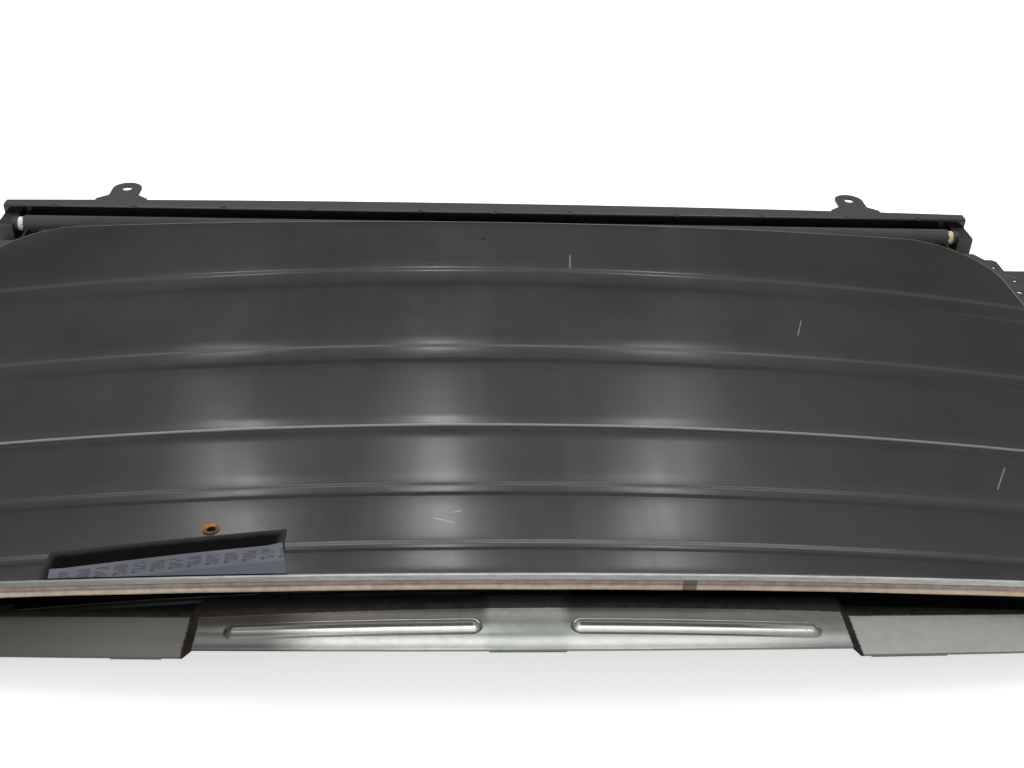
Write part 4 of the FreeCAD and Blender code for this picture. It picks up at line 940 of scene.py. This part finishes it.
def screw_head(place, up=1):
    """A pan head and the raised quarters round its cross slot."""
    x, y, z = place
    profile = [(0.0030, -0.0001), (0.0030, 0.0006), (0.0027, 0.0010), (0.0010, 0.0011)]
    parts = [turned((x, y, z), [(radius, up * height) for radius, height in profile], count=20)]
    for quarter in range(4):
        angle = math.pi / 4 + quarter * math.pi / 2
        cx, cy = x + 0.00125 * math.cos(angle), y + 0.00125 * math.sin(angle)
        lug = [(0.0008, up * 0.0009), (0.0008, up * 0.0014), (0.0006, up * 0.0016)]
        parts.append(turned((cx, cy, z), lug, count=8))
    return parts


def cable_tubes():
    """Round guide tubes along the arch of the front crossmember."""
    centre_z = ARCH_RISE - ARCH_RADIUS
    reach = ARCH_RADIUS + TUBE_RISE
    for side, name in ((1, "right"), (-1, "left")):
        y = PINION_Y + side * TUBE_OFFSET
        rings = []
        for x in spread(0.0284, 0.3816, 48):
            angle = math.asin(x / reach)
            out = Vector((side * math.sin(angle), 0, math.cos(angle)))
            rings.append(circle(Vector((0, y, centre_z)) + out * reach, TUBE_RADIUS, out, (0, 1, 0)))
        # Dark tube finish: painted shade for the dark gap under the lid's front edge where they lie.
        tube = swept("round_tube_" + name, rings, "plated_steel", "frame",
                     material=MATERIALS["tube_painted_shade"])
        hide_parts("cable_tube_" + name)


def cloth_roll():
    """The blind wound on its tube, with stepped ends and a soft, uneven surface."""
    rings = []
    stations = [-CLOTH_HALF + d for d in (0.0, 0.0, 0.0005, 0.003)]
    stations += spread(-CLOTH_HALF + 0.010, CLOTH_HALF - 0.010, 90)
    stations += [CLOTH_HALF - d for d in (0.003, 0.0005, 0.0, 0.0)]
    last = len(stations) - 1
    for number, x in enumerate(stations):
        ring = []
        for i in range(72):
            turn = i / 72
            angle = -math.pi / 2 + 2 * math.pi * turn
            radius = CLOTH_RADIUS - 0.0005 * turn
            if number in (0, last):
                radius = 0.00705
            elif number in (1, last - 1):
                radius -= 0.0002
            else:
                radius -= 0.00004 * (1 + math.sin(17 * x + 3 * angle) * math.sin(41 * x + 0.7))
            ring.append((x, ROLLER_Y + radius * math.cos(angle), ROLLER_Z + radius * math.sin(angle)))
        rings.append(ring)
    roll = swept("cloth_roll", rings, "blind_fabric", "roller")
    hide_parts("wound_cloth")
    stud = ((0.0016, -0.0004), (0.0016, 0.00025), (0.0013, 0.0003), (0.0011, 0.0001))
    marks = []
    for x in (-0.3717, 0.4165):
        rings = []
        base = Vector((x, ROLLER_Y - 0.0035, ROLLER_Z + 0.00715))
        out = Vector((0, -0.44, 0.898))
        for radius, height in stud:
            rings.append(circle(base + out * height, radius, (1, 0, 0), (0, 0.898, 0.44), 18))
        marks.append(rings)
    joined("cloth_studs", marks, "black_plastic", "roller")


def blind_stretch():
    """The cloth between the roll and the pull bar."""
    near_y, near_z = 0.2353, 0.00905
    far_y, far_z = ROLLER_Y, ROLLER_Z - CLOTH_RADIUS - 0.0005
    rows, half = 24, 0.380
    rings = []
    for i in range(rows + 1):
        share = i / rows
        y, z = near_y + (far_y - near_y) * share, near_z + (far_z - near_z) * share
        ring = [(x, y, z + 0.00008 * math.sin(25 * x + 2 * share)) for x in spread(-half, half, 60)]
        ring += [(px, py, pz - 0.0004) for px, py, pz in reversed(ring)]
        rings.append(ring)
    cloth = swept("blind_sheet", rings, "blind_fabric", None)
    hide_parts("blind_cloth")
    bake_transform(cloth)


def gearbox_screws():
    """Four screws in the cover under the drive."""
    parts = []
    for x in (-0.022, 0.022):
        for y in (-0.270, -0.238):
            parts += screw_head((x, y, 0.0084), -1)
    joined("cover_screws", parts, "plated_steel", "frame")


def make_frame_details():
    edge_tabs()
    weld_spots()
    plate_details()
    cable_tubes()
    cloth_roll()
    blind_stretch()
    gearbox_screws()


# Stage, lights, camera
def floor_material():
    """A pale floor that shows as white around the shadow, to the camera and in what is shiny."""
    s = Shader("floor_white")
    cloud = s.noise(1.2, 2.0)
    base = s.mix(s.range(cloud, 0.3, 0.7), (0.80, 0.80, 0.80), (0.79, 0.79, 0.79))
    s.surface(color=base, rough=0.9, specular=0.1)
    glow = s.put("ShaderNodeEmission", {"Color": (1, 1, 1), "Strength": 0.6})
    both = s.put("ShaderNodeAddShader")
    s.tree.links.new(s.bsdf.outputs[0], both.inputs[0])
    s.tree.links.new(glow.outputs[0], both.inputs[1])
    path = s.put("ShaderNodeLightPath")
    seen = s.sum("MAXIMUM", path.outputs["Is Camera Ray"],
                 s.sum("MAXIMUM", path.outputs["Is Glossy Ray"], path.outputs["Is Transmission Ray"]))
    choose = s.put("ShaderNodeMixShader", {"Fac": seen})
    s.tree.links.new(s.bsdf.outputs[0], choose.inputs[1])
    s.tree.links.new(both.outputs[0], choose.inputs[2])
    out = s.tree.nodes["Material Output"]
    s.tree.links.new(choose.outputs[0], out.inputs["Surface"])
    return s.mat


def make_stage():
    mesh = bpy.data.meshes.new("floor")
    corners = ((-1, -1), (1, -1), (1, 1), (-1, 1))
    corners = [(x * FLOOR_REACH, y * FLOOR_REACH, FLOOR_Z) for x, y in corners]
    mesh.from_pydata(corners, [], [(0, 1, 2, 3)])
    floor = bpy.data.objects.new("floor", mesh)
    bpy.context.scene.collection.objects.link(floor)
    mesh.materials.append(floor_material())


def lamp(name, place, target, size, power):
    data = bpy.data.lights.new(name, "AREA")
    data.shape = "RECTANGLE"
    data.size, data.size_y = size
    data.energy = power
    obj = bpy.data.objects.new(name, data)
    obj.location = place
    obj.rotation_euler = (Vector(target) - Vector(place)).to_track_quat("-Z", "Y").to_euler()
    bpy.context.scene.collection.objects.link(obj)


def make_world():
    """Studio walls: dark behind the object, light overhead and on the camera's side, white where seen."""
    world = bpy.data.worlds.new("studio")
    world.use_nodes = True
    tree = world.node_tree

    def node(kind, **inputs):
        made = tree.nodes.new(kind)
        for key, value in inputs.items():
            socket = made.inputs[key.replace("_", " ")]
            if isinstance(value, bpy.types.NodeSocket):
                tree.links.new(value, socket)
            else:
                socket.default_value = value
        return made

    direction = node("ShaderNodeTexCoord").outputs["Generated"]
    parts = node("ShaderNodeSeparateXYZ", Vector=direction)
    rise = parts.outputs["Z"]
    behind = node("ShaderNodeMapRange", Value=rise, From_Min=0.4, From_Max=0.95, To_Min=0.05,
                  To_Max=0.8)
    before = node("ShaderNodeMapRange", Value=rise, From_Min=0.0, From_Max=0.9, To_Min=0.25,
                  To_Max=0.8)
    turn = node("ShaderNodeMapRange", Value=parts.outputs["Y"], From_Min=-0.3, From_Max=0.4)
    level = tree.nodes.new("ShaderNodeMix")
    tree.links.new(turn.outputs[0], level.inputs[0])
    tree.links.new(before.outputs[0], level.inputs[2])
    tree.links.new(behind.outputs[0], level.inputs[3])
    seen = node("ShaderNodeLightPath").outputs["Is Camera Ray"]
    shown = tree.nodes.new("ShaderNodeMix")
    tree.links.new(seen, shown.inputs[0])
    tree.links.new(level.outputs[0], shown.inputs[2])
    shown.inputs[3].default_value = 1.0
    tree.links.new(shown.outputs[0], tree.nodes["Background"].inputs["Strength"])
    tree.nodes["Background"].inputs["Color"].default_value = (1, 1, 1, 1)
    bpy.context.scene.world = world


def make_lights():
    make_world()
    for values in LAMPS:
        lamp(*values)


def make_camera():
    data = bpy.data.cameras.new("camera")
    data.sensor_width = SENSOR
    data.lens = LENS
    data.clip_start, data.clip_end = 0.05, 50.0
    camera = bpy.data.objects.new("camera", data)
    forward = Vector(CAMERA_FORWARD).normalized()
    right = Vector(CAMERA_RIGHT)
    right = (right - forward * right.dot(forward)).normalized()
    up = right.cross(forward)
    turn = Matrix((right, up, -forward)).transposed()
    camera.matrix_world = Matrix.Translation(CAMERA_PLACE) @ turn.to_4x4()
    bpy.context.scene.collection.objects.link(camera)
    bpy.context.scene.camera = camera


make_lid()
make_frame_details()
make_stage()
make_lights()
make_camera()
bpy.context.scene.view_settings.view_transform = "Standard"
